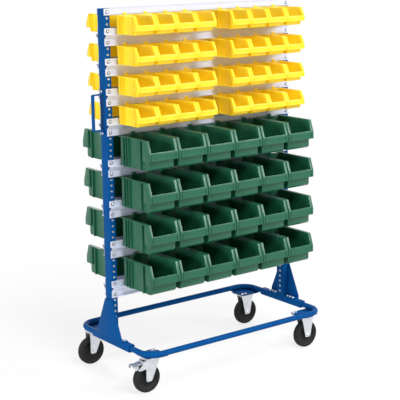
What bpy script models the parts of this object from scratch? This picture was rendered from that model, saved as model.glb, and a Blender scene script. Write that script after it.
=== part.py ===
"""A mobile rack for storage bins: two slotted uprights on a wheeled tube base, with bin rails on both sides.

X runs along the rack, with the push handle at -X. The front side faces -Y and Z is up. The origin lies on
the floor under the middle of everything, so the uprights stand a little towards +X. All sizes are in metres.
"""

import math

import bmesh
import bpy
from mathutils import Matrix, Vector

# Clearances, overruns and facets
SEAT_GAP = 0.0003
CUT_OVERRUN = 0.004
WELD_OVERLAP = 0.001
SMOOTH_ANGLE = math.radians(35)
ROUND_SIDES = 10
PIN_SIDES = 8
CORNER_STEPS = 4

# The whole rack
RAIL_LENGTH = 1.000
LOWEST_RAIL_CLEARANCE = 0.1794

# Uprights, rectangular tubes with open ends
UPRIGHT_WIDTH = 0.030
UPRIGHT_DEPTH = 0.050
UPRIGHT_WALL = 0.002
SCREW_HOLE_DIAMETER = 0.0066
SCREW_HOLE_SIDES = 6

# Bin rails, bent from one sheet
RAIL_SHEET = 0.0015
RAIL_FLANGE_HEIGHT = 0.025
RAIL_LEDGE_DEPTH = 0.020
RAIL_SLANT_DROP = 0.020
RAIL_BAND_HEIGHT = 0.028
RAIL_LIP_GAP = 0.0035
RAIL_LIP_HEIGHT = 0.006

# Small bins, four in a group
YELLOW_LENGTH = 0.160
YELLOW_WIDTH = 0.1015
YELLOW_HEIGHT = 0.077
YELLOW_LIP_HEIGHT = 0.037
YELLOW_SLOPE_RUN = 0.020
YELLOW_STEP_HEIGHT = 0.017
YELLOW_STEP_DEPTH = 0.0165
YELLOW_TOE = 0.005
YELLOW_WALL = 0.002
YELLOW_SPACING = 0.001
YELLOW_CLEAR_HEIGHT = 0.077
YELLOW_ROWS = 4
YELLOW_GROUP_COUNT = 4
YELLOW_GROUP_GAP = 0.087

# Large bins, six in a row
GREEN_LENGTH = 0.224
GREEN_WIDTH = 0.149
GREEN_HEIGHT = 0.126
GREEN_LIP_HEIGHT = 0.070
GREEN_SLOPE_RUN = 0.019
GREEN_WALL = 0.0025
GREEN_SPACING = 0.0015
GREEN_RIM_WIDTH = 0.012
GREEN_RIM_THICKNESS = 0.003
GREEN_EAR_LENGTH = 0.031
GREEN_STEP_HEIGHT = 0.042
GREEN_STEP_DEPTH = 0.0195
GREEN_TOE = 0.008
GREEN_CLEAR_HEIGHT = 0.127
GREEN_ROWS = 4
GREEN_ROW_COUNT = 6

# The hook strip that hangs a group of bins on the lip of the rail above it
HOOK_THICKNESS = 0.002
HOOK_DEPTH = 0.004
HOOK_SETBACK = 0.0002
HOOK_ROOT = 0.006

# Tube base
TUBE_DIAMETER = 0.025
TUBE_WALL = 0.002
BASE_HALF_DEPTH = 0.276
TUBE_BEND_RADIUS = 0.070
TUBE_JOINT_GAP = 0.002
CORNER_PLATE_THICKNESS = 0.004
CORNER_PLATE_LENGTH = 0.110
CORNER_PLATE_DEPTH = 0.115

# Feet: a sleeve round the tube joint, a base flange and a tapering side plate
SLEEVE_LENGTH = 0.290
SLEEVE_WALL = 0.0025
FOOT_FLANGE_THICKNESS = 0.003
FOOT_PLATE_THICKNESS = 0.004
FOOT_PLATE_HEIGHT = 0.168
FOOT_PLATE_BASE_HALF = 0.097
FOOT_PLATE_FOOT_HEIGHT = 0.010

# Push handle, a bent flat bar
HANDLE_BAR_WIDTH = 0.020
HANDLE_BAR_THICKNESS = 0.005
HANDLE_REACH = 0.047
HANDLE_HEIGHT = 0.156
HANDLE_TAB_LENGTH = 0.020
HANDLE_BEND_RADIUS = 0.008
HANDLE_DROP = 0.429

# Casters
CASTER_INSET_X = 0.0535
CASTER_INSET_Y = 0.055
WHEEL_RADIUS = 0.0625
WHEEL_SIDES = 16
TYRE_WIDTH = 0.032
TREAD_FLAT_WIDTH = 0.014
TYRE_SHOULDER_DROP = 0.003
TYRE_SIDE_DROP = 0.010
TYRE_INNER_RADIUS = 0.041
WHEEL_DISC_WIDTH = 0.014
HUB_RADIUS = 0.015
HUB_WIDTH = 0.036
AXLE_DIAMETER = 0.008
BORE_CLEARANCE = 0.0004
SWIVEL_TRAIL = 0.033
CASTER_PLATE_LENGTH = 0.105
CASTER_PLATE_WIDTH = 0.080
CASTER_PLATE_THICKNESS = 0.003
RACE_RADIUS = 0.027
RACE_HEIGHT = 0.006
CROWN_CLEARANCE = 0.0199
CROWN_THICKNESS = 0.003
CROWN_NOSE_RADIUS = 0.030
KINGPIN_RADIUS = 0.006
KINGPIN_NUT_RADIUS = 0.010
KINGPIN_NUT_HEIGHT = 0.005
FORK_SHEET = 0.0025
FORK_SIDE_GAP = 0.001
FORK_TOE_HALF = 0.014
FORK_TOE_DROP = 0.011
FORK_TOE_CHAMFER = 0.006
SWIVEL_LEG_FRONT = 0.024
FIXED_LEG_TOP_HALF = 0.036
AXLE_HEAD_RADIUS = 0.007
AXLE_HEAD_HEIGHT = 0.005

# Brake of one swivel caster
BRAKE_PIVOT_SETBACK = 0.021
BRAKE_PIVOT_DROP = 0.0084
BRAKE_PIN_DIAMETER = 0.005
BRAKE_CHEEK_SETBACK = 0.054
BRAKE_CHEEK_TIP_DROP = 0.0339
BRAKE_CHEEK_TIP_DEPTH = 0.010
BRAKE_CHEEK_ROOT_DROP = 0.0359
PEDAL_HUB_RADIUS = 0.006
PEDAL_SIDE_GAP = 0.001
PEDAL_THICKNESS = 0.003
PEDAL_REACH = 0.052
PEDAL_DROP = 0.010
PEDAL_TREAD_LENGTH = 0.018
PEDAL_TREAD_OVERHANG = 0.004

# Places that follow from the sizes, from the floor up
CROWN_BOTTOM = 2 * WHEEL_RADIUS + CROWN_CLEARANCE
CROWN_TOP = CROWN_BOTTOM + CROWN_THICKNESS
RACE_BOTTOM = CROWN_TOP + SEAT_GAP
CASTER_PLATE_BOTTOM = RACE_BOTTOM + RACE_HEIGHT
CASTER_PLATE_TOP = CASTER_PLATE_BOTTOM + CASTER_PLATE_THICKNESS
CORNER_PLATE_BOTTOM = CASTER_PLATE_TOP + SEAT_GAP
CORNER_PLATE_TOP = CORNER_PLATE_BOTTOM + CORNER_PLATE_THICKNESS + WELD_OVERLAP
CORNER_PLATE_RADIUS = TUBE_BEND_RADIUS + TUBE_DIAMETER / 2
TUBE_AXIS_HEIGHT = CORNER_PLATE_TOP - WELD_OVERLAP + TUBE_DIAMETER / 2
BRAKE_PIVOT_X = SWIVEL_TRAIL + BRAKE_PIVOT_SETBACK
BRAKE_PIVOT_HEIGHT = CROWN_BOTTOM - BRAKE_PIVOT_DROP
FORK_INNER_HALF = HUB_WIDTH / 2 + FORK_SIDE_GAP
FORK_OUTER_HALF = FORK_INNER_HALF + FORK_SHEET
SLEEVE_INNER = TUBE_DIAMETER + 2 * SEAT_GAP
SLEEVE_OUTER = SLEEVE_INNER + 2 * SLEEVE_WALL
SLEEVE_TOP = TUBE_AXIS_HEIGHT + SLEEVE_OUTER / 2
FOOT_FLANGE_TOP = SLEEVE_TOP + FOOT_FLANGE_THICKNESS
UPRIGHT_BOTTOM = FOOT_FLANGE_TOP + SEAT_GAP
RAIL_DROP = RAIL_SLANT_DROP + RAIL_BAND_HEIGHT
YELLOW_ROW_HEIGHT = YELLOW_CLEAR_HEIGHT + RAIL_DROP
GREEN_ROW_HEIGHT = GREEN_CLEAR_HEIGHT + RAIL_DROP
ROWS_HEIGHT = YELLOW_ROWS * YELLOW_ROW_HEIGHT + GREEN_ROWS * GREEN_ROW_HEIGHT
RACK_HEIGHT = UPRIGHT_BOTTOM + LOWEST_RAIL_CLEARANCE + ROWS_HEIGHT + RAIL_BAND_HEIGHT
UPRIGHT_X = RAIL_LENGTH / 2 - UPRIGHT_WIDTH / 2
FACE_Y = UPRIGHT_DEPTH / 2
CASTER_X = UPRIGHT_X - CASTER_INSET_X
CASTER_Y = BASE_HALF_DEPTH - CASTER_INSET_Y
RAIL_BACK = SEAT_GAP
LIP_OUTER = RAIL_BACK + RAIL_SHEET + RAIL_LIP_GAP + RAIL_SHEET
BIN_BACK = LIP_OUTER + SEAT_GAP
LIP_TOP = RAIL_SHEET + RAIL_LIP_HEIGHT
HANDLE_OVERHANG = HANDLE_REACH + HANDLE_BAR_THICKNESS
MIDDLE_X = (HANDLE_OVERHANG - FOOT_PLATE_THICKNESS) / 2


def ledge_heights():
    """The ledge height of each rail below the top one, from the top down."""
    height = RACK_HEIGHT - RAIL_BAND_HEIGHT
    heights = []
    for clear in [YELLOW_CLEAR_HEIGHT] * YELLOW_ROWS + [GREEN_CLEAR_HEIGHT] * GREEN_ROWS:
        height -= clear
        heights.append(height)
        height -= RAIL_DROP
    return heights


# Tools that make the shapes
def clear_scene():
    for item in list(bpy.data.objects):
        bpy.data.objects.remove(item, do_unlink=True)


def make_material(name, colour, roughness, metallic):
    material = bpy.data.materials.new(name)
    material.use_nodes = True
    shader = material.node_tree.nodes["Principled BSDF"]
    shader.inputs["Base Color"].default_value = (*colour, 1)
    shader.inputs["Roughness"].default_value = roughness
    shader.inputs["Metallic"].default_value = metallic
    return material


def blue_paint():
    return make_material("blue_paint", (0.012, 0.10, 0.42), 0.35, 0.0)


def galvanised_steel():
    return make_material("galvanised_steel", (0.60, 0.61, 0.62), 0.38, 1.0)


def yellow_plastic():
    return make_material("yellow_plastic", (0.90, 0.62, 0.03), 0.45, 0.0)


def green_plastic():
    return make_material("green_plastic", (0.012, 0.13, 0.065), 0.45, 0.0)


def black_rubber():
    return make_material("black_rubber", (0.02, 0.02, 0.02), 0.7, 0.0)


def add_object(name, mesh, material, place=(0, 0, 0), turn=0):
    """An object of this mesh at a place measured from the middle of the uprights, turned about Z.

    The material stays with the object, because several objects share a mesh.
    """
    item = bpy.data.objects.new(name, mesh)
    if not mesh.materials:
        mesh.materials.append(None)
    item.material_slots[0].link = "OBJECT"
    item.material_slots[0].material = material
    item.location = Vector(place) + Vector((MIDDLE_X, 0, 0))
    item.rotation_euler = (0, 0, turn)
    bpy.context.scene.collection.objects.link(item)
    return item


def mesh_from(vertices, faces):
    mesh = bpy.data.meshes.new("shape")
    work = bmesh.new()
    made = [work.verts.new(vertex) for vertex in vertices]
    for face in faces:
        work.faces.new([made[index] for index in face])
    bmesh.ops.recalc_face_normals(work, faces=work.faces)
    work.to_mesh(mesh)
    work.free()
    return mesh


def prism(outline, start, end, axis):
    """An outline extruded along an axis. Its points are (y, z) for X, (x, z) for Y and (x, y) for Z."""
    place = {
        "X": lambda a, b, c: (c, a, b),
        "Y": lambda a, b, c: (a, c, b),
        "Z": lambda a, b, c: (a, b, c),
    }[axis]
    count = len(outline)
    vertices = [place(a, b, start) for a, b in outline] + [place(a, b, end) for a, b in outline]
    faces = [list(range(count)), list(range(2 * count - 1, count - 1, -1))]
    for i in range(count):
        j = (i + 1) % count
        faces.append([i, j, count + j, count + i])
    return mesh_from(vertices, faces)


def box(x_range, y_range, z_range):
    (x0, x1), (y0, y1), (z0, z1) = x_range, y_range, z_range
    return prism([(x0, y0), (x1, y0), (x1, y1), (x0, y1)], z0, z1, "Z")


def turned(profile, sides, closed, phase=0):
    """A profile of (radius, height) points turned about Z. An open profile starts and ends on the axis."""
    vertices, rings = [], []
    for radius, height in profile:
        if radius == 0:
            rings.append([len(vertices)] * sides)
            vertices.append((0, 0, height))
            continue
        rings.append(list(range(len(vertices), len(vertices) + sides)))
        for k in range(sides):
            angle = phase + 2 * math.pi * k / sides
            vertices.append((radius * math.cos(angle), radius * math.sin(angle), height))
    faces = []
    steps = len(rings) if closed else len(rings) - 1
    for i in range(steps):
        lower, upper = rings[i], rings[(i + 1) % len(rings)]
        for k in range(sides):
            m = (k + 1) % sides
            corners = [lower[k], lower[m], upper[m], upper[k]]
            faces.append(list(dict.fromkeys(corners)))
    return mesh_from(vertices, faces)


def cylinder(radius, start, end, sides, phase=0):
    return turned([(0, start), (radius, start), (radius, end), (0, end)], sides, False, phase)


def placed(mesh, matrix):
    mesh.transform(matrix)
    return mesh


def along_y(mesh, x, z):
    """A shape made about Z laid along Y, with its axis through this X and Z."""
    return placed(mesh, Matrix.Translation((x, 0, z)) @ Matrix.Rotation(math.radians(90), 4, "X"))


def combined(first, *changes):
    """The first mesh with further meshes united with it or cut from it."""
    base = bpy.data.objects.new("base", first)
    bpy.context.scene.collection.objects.link(base)
    helpers = [base]
    for operation, mesh in changes:
        helper = bpy.data.objects.new("helper", mesh)
        bpy.context.scene.collection.objects.link(helper)
        helpers.append(helper)
        modifier = base.modifiers.new(operation, "BOOLEAN")
        modifier.operation = operation
        modifier.solver = "EXACT"
        modifier.object = helper
    graph = bpy.context.evaluated_depsgraph_get()
    mesh = bpy.data.meshes.new_from_object(base.evaluated_get(graph), depsgraph=graph)
    for helper in helpers:
        bpy.data.objects.remove(helper, do_unlink=True)
    return mesh


def united(first, *others):
    return combined(first, *[("UNION", mesh) for mesh in others])


def cut(first, *cutters):
    return combined(first, *[("DIFFERENCE", mesh) for mesh in cutters])


def copies(mesh, offsets):
    """One mesh that holds a copy at each offset. The copies don't touch."""
    result = bpy.data.meshes.new("copies")
    work = bmesh.new()
    for offset in offsets:
        moved = mesh.copy()
        moved.transform(Matrix.Translation(offset))
        work.from_mesh(moved)
        bpy.data.meshes.remove(moved)
    work.to_mesh(result)
    work.free()
    return result


def smooth(mesh):
    mesh.shade_smooth()
    mesh.set_sharp_from_angle(angle=SMOOTH_ANGLE)
    return mesh


def sheet_outline(path, thickness):
    """The outline of a bent sheet. Its visible face follows the path, with the metal on the path's right."""
    points = [Vector(point) for point in path]
    headings = [(b - a).normalized() for a, b in zip(points, points[1:])]
    sides = [Vector((heading.y, -heading.x)) for heading in headings]
    offset = []
    for i, point in enumerate(points):
        before = sides[max(i - 1, 0)]
        after = sides[min(i, len(sides) - 1)]
        mean = (before + after) / (1 + before.dot(after))
        offset.append(point + mean * thickness)
    return [tuple(point) for point in points + offset[::-1]]


def rounded_path(points, radius, steps):
    """A path of points whose inner corners are replaced with arcs."""
    corners = [Vector(point) for point in points]
    path = [tuple(corners[0])]
    for a, b, c in zip(corners, corners[1:], corners[2:]):
        arriving, leaving = (b - a).normalized(), (c - b).normalized()
        turn = math.acos(max(-1, min(1, arriving.dot(leaving))))
        reach = radius * math.tan(turn / 2)
        start = b - arriving * reach
        side = Vector((-arriving.y, arriving.x))
        if side.dot(leaving) < 0:
            side = -side
        centre = start + side * radius
        for i in range(steps + 1):
            angle = turn * i / steps
            point = centre - side * radius * math.cos(angle) + arriving * radius * math.sin(angle)
            path.append(tuple(point))
    path.append(tuple(corners[-1]))
    return path


def hollow_tube(path, height, radius, bore, sides):
    """A round tube along a flat path, with open ends."""
    points = [Vector(point) for point in path]
    vertices, rings = [], []
    for i, point in enumerate(points):
        before = points[max(i - 1, 0)]
        after = points[min(i + 1, len(points) - 1)]
        heading = (after - before).normalized()
        side = Vector((-heading.y, heading.x))
        pair = []
        for size in (radius, bore):
            pair.append(list(range(len(vertices), len(vertices) + sides)))
            for k in range(sides):
                angle = 2 * math.pi * (k + 0.5) / sides
                across = side * size * math.cos(angle)
                vertices.append((point.x + across.x, point.y + across.y, height + size * math.sin(angle)))
        rings.append(pair)
    faces = []
    for k in range(sides):
        m = (k + 1) % sides
        for (outer, inner), (next_outer, next_inner) in zip(rings, rings[1:]):
            faces.append([outer[k], outer[m], next_outer[m], next_outer[k]])
            faces.append([inner[m], inner[k], next_inner[k], next_inner[m]])
        for outer, inner in (rings[0], rings[-1]):
            faces.append([outer[k], outer[m], inner[m], inner[k]])
    return mesh_from(vertices, faces)


# Uprights
def screw_heights():
    """Where screws hold the rails: in the band of each rail and in the flange of all but the top one."""
    heights = [RACK_HEIGHT - RAIL_BAND_HEIGHT / 2]
    for ledge in ledge_heights():
        heights.append(ledge + RAIL_FLANGE_HEIGHT / 2)
        heights.append(ledge - RAIL_SLANT_DROP - RAIL_BAND_HEIGHT / 2)
    return heights


def upright_mesh():
    """A rectangular tube with screw holes through its front and rear walls."""
    half_width, half_depth = UPRIGHT_WIDTH / 2, UPRIGHT_DEPTH / 2
    inner_width, inner_depth = half_width - UPRIGHT_WALL, half_depth - UPRIGHT_WALL
    tube = box((-half_width, half_width), (-half_depth, half_depth), (UPRIGHT_BOTTOM, RACK_HEIGHT))
    bore = box(
        (-inner_width, inner_width),
        (-inner_depth, inner_depth),
        (UPRIGHT_BOTTOM - CUT_OVERRUN, RACK_HEIGHT + CUT_OVERRUN),
    )
    reach = half_depth + CUT_OVERRUN
    drill = cylinder(SCREW_HOLE_DIAMETER / 2, -reach, reach, SCREW_HOLE_SIDES)
    drill = along_y(drill, 0, 0)
    drills = copies(drill, [(0, 0, height) for height in screw_heights()])
    return cut(tube, bore, drills)


def add_uprights(material):
    mesh = upright_mesh()
    add_object("upright_left", mesh, material, (-UPRIGHT_X, 0, 0))
    add_object("upright_right", mesh, material, (UPRIGHT_X, 0, 0), math.pi)


# Rails, made for the front side, where outwards is -Y
def outwards(outline):
    """An outline in (distance from the upright's face, height) turned into (y, z) on the front side."""
    return [(-FACE_Y - distance, height) for distance, height in outline]


def lip_path(front, bottom):
    """The upturned lip at the lower edge of a rail, from the band's front face."""
    return [
        (front, bottom + RAIL_SHEET),
        (front + RAIL_LIP_GAP, bottom + RAIL_SHEET),
        (front + RAIL_LIP_GAP, bottom + LIP_TOP),
    ]


def top_rail_mesh():
    front = RAIL_BACK + RAIL_SHEET
    path = [(front, 0)] + lip_path(front, -RAIL_BAND_HEIGHT)
    outline = outwards(sheet_outline(path, RAIL_SHEET))
    return prism(outline, -RAIL_LENGTH / 2, RAIL_LENGTH / 2, "X")


def ledge_rail_mesh():
    """Heights are measured from the top of the ledge."""
    front = RAIL_BACK + RAIL_SHEET
    path = [
        (front, RAIL_FLANGE_HEIGHT),
        (front, 0),
        (RAIL_BACK + RAIL_LEDGE_DEPTH, 0),
        (front, -RAIL_SLANT_DROP),
    ] + lip_path(front, -RAIL_DROP)
    outline = outwards(sheet_outline(path, RAIL_SHEET))
    return prism(outline, -RAIL_LENGTH / 2, RAIL_LENGTH / 2, "X")


def add_rails(material):
    top, ledge = top_rail_mesh(), ledge_rail_mesh()
    for side, turn in (("front", 0), ("rear", math.pi)):
        add_object(f"rail_{side}_top", top, material, (0, 0, RACK_HEIGHT), turn)
        for i, height in enumerate(ledge_heights()):
            add_object(f"rail_{side}_{i + 1}", ledge, material, (0, 0, height), turn)


# Bins, made with their back at y = 0, their front towards -Y and their bottom at z = 0
def bin_prism(outline, width):
    """An outline in (distance from the back, height) as wide as a bin."""
    return prism([(-distance, height) for distance, height in outline], -width / 2, width / 2, "X")


def cavity_outline(length, height, wall, step_depth, step_height, toe):
    """The inside of a bin with a stepped front, open at the top."""
    top = height + CUT_OVERRUN
    shelf = step_height + wall
    front = length - wall
    low_front = front - step_depth
    return [
        (wall, wall),
        (wall, top),
        (front, top),
        (front, shelf),
        (low_front, shelf),
        (low_front, toe + wall),
        (low_front - toe, wall),
    ]


def yellow_bin_mesh():
    """A bin whose front lip stands out over a lower front wall with a chamfered toe."""
    low_front = YELLOW_LENGTH - YELLOW_STEP_DEPTH
    body = bin_prism(
        [
            (0, 0),
            (0, YELLOW_HEIGHT),
            (YELLOW_LENGTH - YELLOW_SLOPE_RUN, YELLOW_HEIGHT),
            (YELLOW_LENGTH, YELLOW_LIP_HEIGHT),
            (YELLOW_LENGTH, YELLOW_STEP_HEIGHT),
            (low_front, YELLOW_STEP_HEIGHT),
            (low_front, YELLOW_TOE),
            (low_front - YELLOW_TOE, 0),
        ],
        YELLOW_WIDTH,
    )
    cavity = bin_prism(
        cavity_outline(
            YELLOW_LENGTH, YELLOW_HEIGHT, YELLOW_WALL, YELLOW_STEP_DEPTH, YELLOW_STEP_HEIGHT, YELLOW_TOE
        ),
        YELLOW_WIDTH - 2 * YELLOW_WALL,
    )
    return cut(body, cavity)


def green_bin_mesh():
    """A bin with an outward rim and full-width front ears, and with the small bin's stepped front."""
    body_width = GREEN_WIDTH - 2 * GREEN_RIM_WIDTH
    low_front = GREEN_LENGTH - GREEN_STEP_DEPTH
    slope_start = GREEN_LENGTH - GREEN_SLOPE_RUN
    ear_start = GREEN_LENGTH - GREEN_EAR_LENGTH
    body = bin_prism(
        [
            (0, 0),
            (0, GREEN_HEIGHT),
            (slope_start, GREEN_HEIGHT),
            (low_front, GREEN_STEP_HEIGHT),
            (low_front, GREEN_TOE),
            (low_front - GREEN_TOE, 0),
        ],
        body_width,
    )
    ears = bin_prism(
        [
            (ear_start, GREEN_STEP_HEIGHT),
            (ear_start, GREEN_HEIGHT),
            (slope_start, GREEN_HEIGHT),
            (GREEN_LENGTH, GREEN_LIP_HEIGHT),
            (GREEN_LENGTH, GREEN_STEP_HEIGHT),
        ],
        GREEN_WIDTH,
    )
    rim_bottom = GREEN_HEIGHT - GREEN_RIM_THICKNESS
    rim_end = ear_start + WELD_OVERLAP
    rim = bin_prism(
        [(0, rim_bottom), (0, GREEN_HEIGHT), (rim_end, GREEN_HEIGHT), (rim_end, rim_bottom)],
        GREEN_WIDTH,
    )
    cavity = bin_prism(
        cavity_outline(
            GREEN_LENGTH, GREEN_HEIGHT, GREEN_WALL, GREEN_STEP_DEPTH, GREEN_STEP_HEIGHT, GREEN_TOE
        ),
        body_width - 2 * GREEN_WALL,
    )
    return combined(body, ("UNION", ears), ("UNION", rim), ("DIFFERENCE", cavity))


def hook_strip(clear_height, bin_height, wall, width):
    """The strip behind a group of bins, over the lip of the rail above and down behind it."""
    trough_middle = RAIL_BACK + RAIL_SHEET + RAIL_LIP_GAP / 2
    back = trough_middle - HOOK_THICKNESS / 2 - BIN_BACK
    leg_front = back + HOOK_THICKNESS
    seat = clear_height + LIP_TOP
    outline = [
        (back, seat - HOOK_DEPTH),
        (back, seat + HOOK_THICKNESS),
        (wall + HOOK_SETBACK, seat + HOOK_THICKNESS),
        (wall + HOOK_SETBACK, bin_height - HOOK_ROOT),
        (HOOK_SETBACK, bin_height - HOOK_ROOT),
        (HOOK_SETBACK, seat),
        (leg_front, seat),
        (leg_front, seat - HOOK_DEPTH),
    ]
    return bin_prism(outline, width)


def bin_group_mesh(bin_mesh, count, width, spacing, clear_height, bin_height, wall):
    pitch = width + spacing
    first = -pitch * (count - 1) / 2
    bins = copies(bin_mesh, [(first + pitch * i, 0, 0) for i in range(count)])
    strip = hook_strip(clear_height, bin_height, wall, pitch * count - spacing - 2 * HOOK_SETBACK)
    return united(bins, strip)


def add_bins(yellow, green):
    small = bin_group_mesh(
        yellow_bin_mesh(),
        YELLOW_GROUP_COUNT,
        YELLOW_WIDTH,
        YELLOW_SPACING,
        YELLOW_CLEAR_HEIGHT,
        YELLOW_HEIGHT,
        YELLOW_WALL,
    )
    large = bin_group_mesh(
        green_bin_mesh(),
        GREEN_ROW_COUNT,
        GREEN_WIDTH,
        GREEN_SPACING,
        GREEN_CLEAR_HEIGHT,
        GREEN_HEIGHT,
        GREEN_WALL,
    )
    group_width = (YELLOW_WIDTH + YELLOW_SPACING) * YELLOW_GROUP_COUNT - YELLOW_SPACING
    group_x = (group_width + YELLOW_GROUP_GAP) / 2
    for side, sign, turn in (("front", -1, 0), ("rear", 1, math.pi)):
        y = sign * (FACE_Y + BIN_BACK)
        for i, ledge in enumerate(ledge_heights()):
            z = ledge + SEAT_GAP
            if i >= YELLOW_ROWS:
                add_object(f"bins_green_{side}_{i - YELLOW_ROWS + 1}", large, green, (0, y, z), turn)
                continue
            for end, x in (("left", -group_x), ("right", group_x)):
                add_object(f"bins_yellow_{side}_{i + 1}_{end}", small, yellow, (x, y, z), turn)


# Base tubes and feet
def corner_plate(x_sign):
    """The plate under a bend of the front tube, with one rounded corner."""
    outer_x = UPRIGHT_X + TUBE_DIAMETER / 2
    outer_y = BASE_HALF_DEPTH + TUBE_DIAMETER / 2
    inner_x = outer_x - CORNER_PLATE_LENGTH
    inner_y = outer_y - CORNER_PLATE_DEPTH
    corners = [(inner_x, outer_y), (outer_x, outer_y), (outer_x, inner_y)]
    outline = rounded_path(corners, CORNER_PLATE_RADIUS, CORNER_STEPS) + [(inner_x, inner_y)]
    outline = [(x_sign * x, -y) for x, y in outline]
    return prism(outline, CORNER_PLATE_BOTTOM, CORNER_PLATE_TOP, "Z")


def base_tube_mesh():
    """The front half of the tube loop, with the two plates that carry its casters."""
    end_y = TUBE_JOINT_GAP / 2
    corners = [
        (-UPRIGHT_X, -end_y),
        (-UPRIGHT_X, -BASE_HALF_DEPTH),
        (UPRIGHT_X, -BASE_HALF_DEPTH),
        (UPRIGHT_X, -end_y),
    ]
    path = rounded_path(corners, TUBE_BEND_RADIUS, CORNER_STEPS)
    bore = TUBE_DIAMETER / 2 - TUBE_WALL
    tube = hollow_tube(path, TUBE_AXIS_HEIGHT, TUBE_DIAMETER / 2, bore, ROUND_SIDES)
    return smooth(united(tube, corner_plate(-1), corner_plate(1)))


def foot_mesh():
    """The left foot, made with the tube's axis at x = 0."""
    half, inner = SLEEVE_OUTER / 2, SLEEVE_INNER / 2
    plate_inner = -(RAIL_LENGTH / 2 - UPRIGHT_X) - SEAT_GAP
    plate_outer = plate_inner - FOOT_PLATE_THICKNESS
    sleeve = box(
        (-half, half),
        (-SLEEVE_LENGTH / 2, SLEEVE_LENGTH / 2),
        (TUBE_AXIS_HEIGHT - half, TUBE_AXIS_HEIGHT + half),
    )
    flange = box(
        (plate_outer, half),
        (-FOOT_PLATE_BASE_HALF, FOOT_PLATE_BASE_HALF),
        (SLEEVE_TOP - WELD_OVERLAP, FOOT_FLANGE_TOP),
    )
    shoulder = FOOT_FLANGE_TOP + FOOT_PLATE_FOOT_HEIGHT
    top = FOOT_FLANGE_TOP + FOOT_PLATE_HEIGHT
    plate = prism(
        [
            (-FOOT_PLATE_BASE_HALF, SLEEVE_TOP - WELD_OVERLAP),
            (-FOOT_PLATE_BASE_HALF, shoulder),
            (-FACE_Y, top),
            (FACE_Y, top),
            (FOOT_PLATE_BASE_HALF, shoulder),
            (FOOT_PLATE_BASE_HALF, SLEEVE_TOP - WELD_OVERLAP),
        ],
        plate_outer,
        plate_inner,
        "X",
    )
    reach = SLEEVE_LENGTH / 2 + CUT_OVERRUN
    bore = box(
        (-inner, inner), (-reach, reach), (TUBE_AXIS_HEIGHT - inner, TUBE_AXIS_HEIGHT + inner)
    )
    return combined(sleeve, ("UNION", flange), ("UNION", plate), ("DIFFERENCE", bore))


def add_base(material):
    tube, foot = base_tube_mesh(), foot_mesh()
    add_object("base_tube_front", tube, material)
    add_object("base_tube_rear", tube, material, turn=math.pi)
    add_object("foot_left", foot, material, (-UPRIGHT_X, 0, 0))
    add_object("foot_right", foot, material, (UPRIGHT_X, 0, 0), math.pi)


# Push handle
def add_handle(material):
    """A bow of flat bar with two tabs on the left upright. Its path runs down, with the metal inside."""
    half = HANDLE_HEIGHT / 2
    tip = half + HANDLE_TAB_LENGTH - HANDLE_BAR_THICKNESS
    face = -HANDLE_BAR_THICKNESS
    path = [
        (face, tip),
        (face, half),
        (-HANDLE_OVERHANG, half),
        (-HANDLE_OVERHANG, -half),
        (face, -half),
        (face, -tip),
    ]
    path = rounded_path(path, HANDLE_BEND_RADIUS, CORNER_STEPS)
    outline = sheet_outline(path[::-1], HANDLE_BAR_THICKNESS)
    bow = prism(outline, -HANDLE_BAR_WIDTH / 2, HANDLE_BAR_WIDTH / 2, "Y")
    place = (-RAIL_LENGTH / 2 - SEAT_GAP, 0, RACK_HEIGHT - HANDLE_DROP)
    add_object("push_handle", smooth(bow), material, place)


# Casters, made about the vertical axis of their plate, with the wheels trailing towards -X
def wheel_mesh():
    """A solid tyre on a disc and a hub, made about its own axis, with a flat of its tread underneath."""
    to_corner = 1 / math.cos(math.pi / WHEEL_SIDES)
    bore = AXLE_DIAMETER / 2 + BORE_CLEARANCE
    half_profile = [
        (bore / math.cos(math.pi / WHEEL_SIDES), HUB_WIDTH / 2),
        (HUB_RADIUS, HUB_WIDTH / 2),
        (HUB_RADIUS, WHEEL_DISC_WIDTH / 2),
        (TYRE_INNER_RADIUS, WHEEL_DISC_WIDTH / 2),
        (WHEEL_RADIUS - TYRE_SIDE_DROP, TYRE_WIDTH / 2),
        ((WHEEL_RADIUS - TYRE_SHOULDER_DROP) * to_corner, TYRE_WIDTH / 2 - TYRE_SHOULDER_DROP),
        (WHEEL_RADIUS * to_corner, TREAD_FLAT_WIDTH / 2),
    ]
    profile = half_profile + [(radius, -height) for radius, height in half_profile[::-1]]
    wheel = turned(profile, WHEEL_SIDES, True, math.pi / 2 + math.pi / WHEEL_SIDES)
    return smooth(along_y(wheel, 0, 0))


def axle_mesh(x):
    """The axle bolt with a head at each end."""
    reach = FORK_OUTER_HALF + AXLE_HEAD_HEIGHT
    radius = AXLE_DIAMETER / 2
    seat = FORK_OUTER_HALF - WELD_OVERLAP
    bolt = turned(
        [
            (0, -reach),
            (AXLE_HEAD_RADIUS, -reach),
            (AXLE_HEAD_RADIUS, -seat),
            (radius, -seat),
            (radius, seat),
            (AXLE_HEAD_RADIUS, seat),
            (AXLE_HEAD_RADIUS, reach),
            (0, reach),
        ],
        PIN_SIDES,
        False,
    )
    return along_y(bolt, x, WHEEL_RADIUS)


def leg_outline(axle_x, top_left, top_right, top):
    """A fork leg that tapers from its top edge to a chamfered toe round the axle."""
    toe = WHEEL_RADIUS - FORK_TOE_DROP
    cheek = toe + FORK_TOE_CHAMFER
    left, right = axle_x - FORK_TOE_HALF, axle_x + FORK_TOE_HALF
    return [
        (top_left, top),
        (left, cheek),
        (left + FORK_TOE_CHAMFER, toe),
        (right - FORK_TOE_CHAMFER, toe),
        (right, cheek),
        (top_right, top),
    ]


def both_legs(outline):
    inner, outer = FORK_INNER_HALF, FORK_OUTER_HALF
    return prism(outline, -outer, -inner, "Y"), prism(outline, inner, outer, "Y")


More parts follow.
